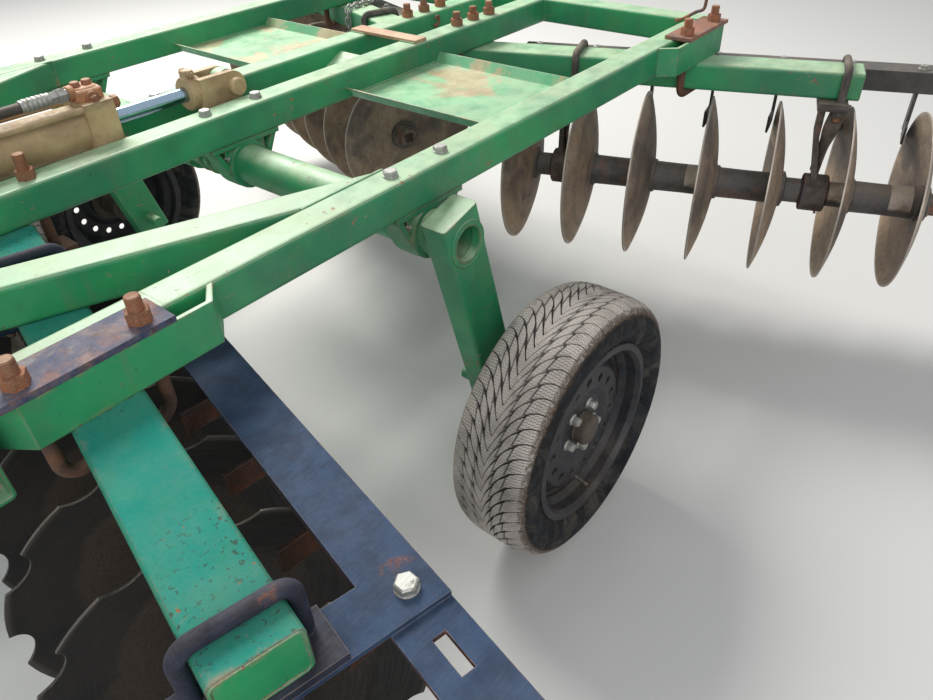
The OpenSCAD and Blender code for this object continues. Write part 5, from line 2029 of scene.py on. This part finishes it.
@dataclass
class GangTrim(Trim):
    """End nuts, bearing seals, scraper bolts, beam caps and guards of one gang."""

    place: GangPlace
    beam_z: float = 277.0
    front_bar: tuple = (170.0, 230.0)
    rear_bar: tuple = (124.0, 285.0)
    hook: tuple = (61.0, 78.0, 204.0)

    def turning(self) -> Shell:
        """Nuts with their lock plates on the ends of the axle, which turn with the discs.

        Returns:
            The nuts and plates of both ends.
        """
        nut, lock = prism(hexagon(27), 0.0, 22, 2.5), prism(rounded(74, 62, 10), 0.0, 4.0, 0.8)
        one = joined([nut.moved(shift(z=4)), lock])
        return joined([one.at((0, y, 0), (0, d, 0), (1, 0, 0.4))
                       for y, d in zip(self.place.ends(), SIDES)]).moved(self.place.matrix())

    def bearings(self) -> Shell:
        """Seal rings and a nipple on each hanger's bearing.

        Returns:
            The parts of all the gang's hangers.
        """
        seal = lathe([(29.0, 0), (49.6, 0), (49.6, 2.0), (46.0, 4.6), (38.0, 4.6), (36.0, 3.0),
                      (29.0, 3.0)], 40, True)
        grease = nipple(5, 6, [(3, 5.8), (2.6, 10), (3.4, 11), (3.4, 13), (0.4, 15)], 12)
        mid = self.place.pitch / 2 + 3
        one = joined([seal.at((0, mid + d * 28, 0), (0, d, 0)) for d in SIDES]
                     + [grease.at((49 * 0.8, mid - 12, -49 * 0.6), (0.8, 0, -0.6), ALONG_Y)])
        return joined([one.moved(self.place.gap(gap)) for gap in self.place.hangers])

    def bar_bolts(self) -> Shell:
        """Bolt of the front bar's joint, or those of the rear scrapers' shanks.

        Returns:
            The bolts.
        """
        back, top = self.front_bar if self.place.front else self.rear_bar
        x = self.place.lead - back
        if self.place.front:
            bolts = [bolt_head(13.0, 10.0, 15.4).at(
                (x - 4, self.place.hub(5) + 97, top), ALONG_Z, (1, 0.4, 0))]
        else:
            head = bolt_head(9.5, 8.0, 14.0)
            bolts = [head.at((x, self.place.hub(k) - 54, top), ALONG_Z,
                             (math.cos(k * 1.7), math.sin(k * 1.7), 0))
                     for k in range(self.place.discs)]
        return joined(bolts).moved(self.place.matrix())

    def hook_threads(self) -> Shell:
        """Threaded ends of the hangers' U-bolts under their nuts.

        Returns:
            The threads of all the gang's hangers.
        """
        end, (x, y, z) = stud_end(10.0, 0, 12.3), self.hook
        return joined([end.at((self.place.lead + s * x, y, z), (0, 0, -1))
                       .moved(self.place.gap(gap)) for gap in self.place.hangers for s in SIDES])

    def caps(self) -> Shell:
        """Plates that close the beam's ends, with a bead of weld round each.

        Returns:
            The plates and beads of both ends.
        """
        ring = rounded(95, 65, 9, 4)
        bead = weld_bead(np.column_stack([ring, np.full(len(ring), 0.2)]), 1.6, ALONG_Z, True)
        cap = joined([prism(rounded(99, 69, 8), -5.8, -0.2, 1.0), bead])
        return joined([cap.at((self.place.lead, y, self.beam_z), (0, d, 0), ALONG_X)
                       for y, d in zip(self.place.beam, SIDES)]).moved(self.place.matrix())

    def guards(self, wide: float = 42.0, thick: float = 6.0) -> Shell:
        """Twisted strap from each clamp plate down beside the bearing, as a stone guard.

        It turns from across the beam to along it by 1.15 t^2 (3 - 2 t), with t from 0 to 1
        over the run from a tenth to three fifths of its length.

        Args:
            wide: width of the strap.
            thick: its thickness.

        Returns:
            The straps of all the gang's hangers.
        """
        s = np.linspace(0, 1, 26)[:, None]
        t = np.clip((s - 0.1) / 0.5, 0, 1)
        twist, bulge = 1.15 * t ** 2 * (3 - 2 * t), np.sin(s * math.pi)
        across, out = rounded(wide, thick, 2.0, 2).T
        rows = np.stack([
            self.place.lead + 47 + 14 * bulge + out * np.cos(twist) - across * np.sin(twist),
            71 + 26 * s + 6 * bulge + out * np.sin(twist) + across * np.cos(twist),
            232 - 190 * s + np.zeros(len(out))], -1)
        return joined([woven(rows).moved(self.place.gap(gap)) for gap in self.place.hangers])

    def pieces(self) -> list[tuple]:
        """The gang's pieces.

        Returns:
            A row for make_piece for each piece.
        """
        rows = [("axle_nuts_", self.turning(), Coat.GUARD, self.place.body),
                ("bearing_seals_", self.bearings(), Coat.STEEL, Body.FRAME),
                ("scraper_bolts_", self.bar_bolts(), Coat.ZINC, Body.FRAME),
                ("hook_threads_", self.hook_threads(), Coat.STUDS, Body.FRAME),
                ("beam_caps_", self.caps(), Coat.PAINT, Body.FRAME),
                ("stone_guards_", self.guards(), Coat.GUARD, Body.FRAME, 40, "bare_steel")]
        return [(name + self.place.key, *row) for name, *row in rows]


def main() -> None:
    """Builds the looks in order."""
    Studio().make()
    Lens().make()
    coat_solids()
    for side, body, key in ((1, Body.WHEEL_LEFT, "left"), (-1, Body.WHEEL_RIGHT, "right")):
        Tyre(side, body, "tyre_" + key).make()
        WheelTrim(side, body, "wheel_" + key).make()
    for group in (FrameTrim(), LiftTrim(), LooseTrim(), DrawbarTrim(), Ram(), Hoses(),
                  *map(GangTrim, GANGS)):
        group.make()


if __name__ == "__main__":
    main()
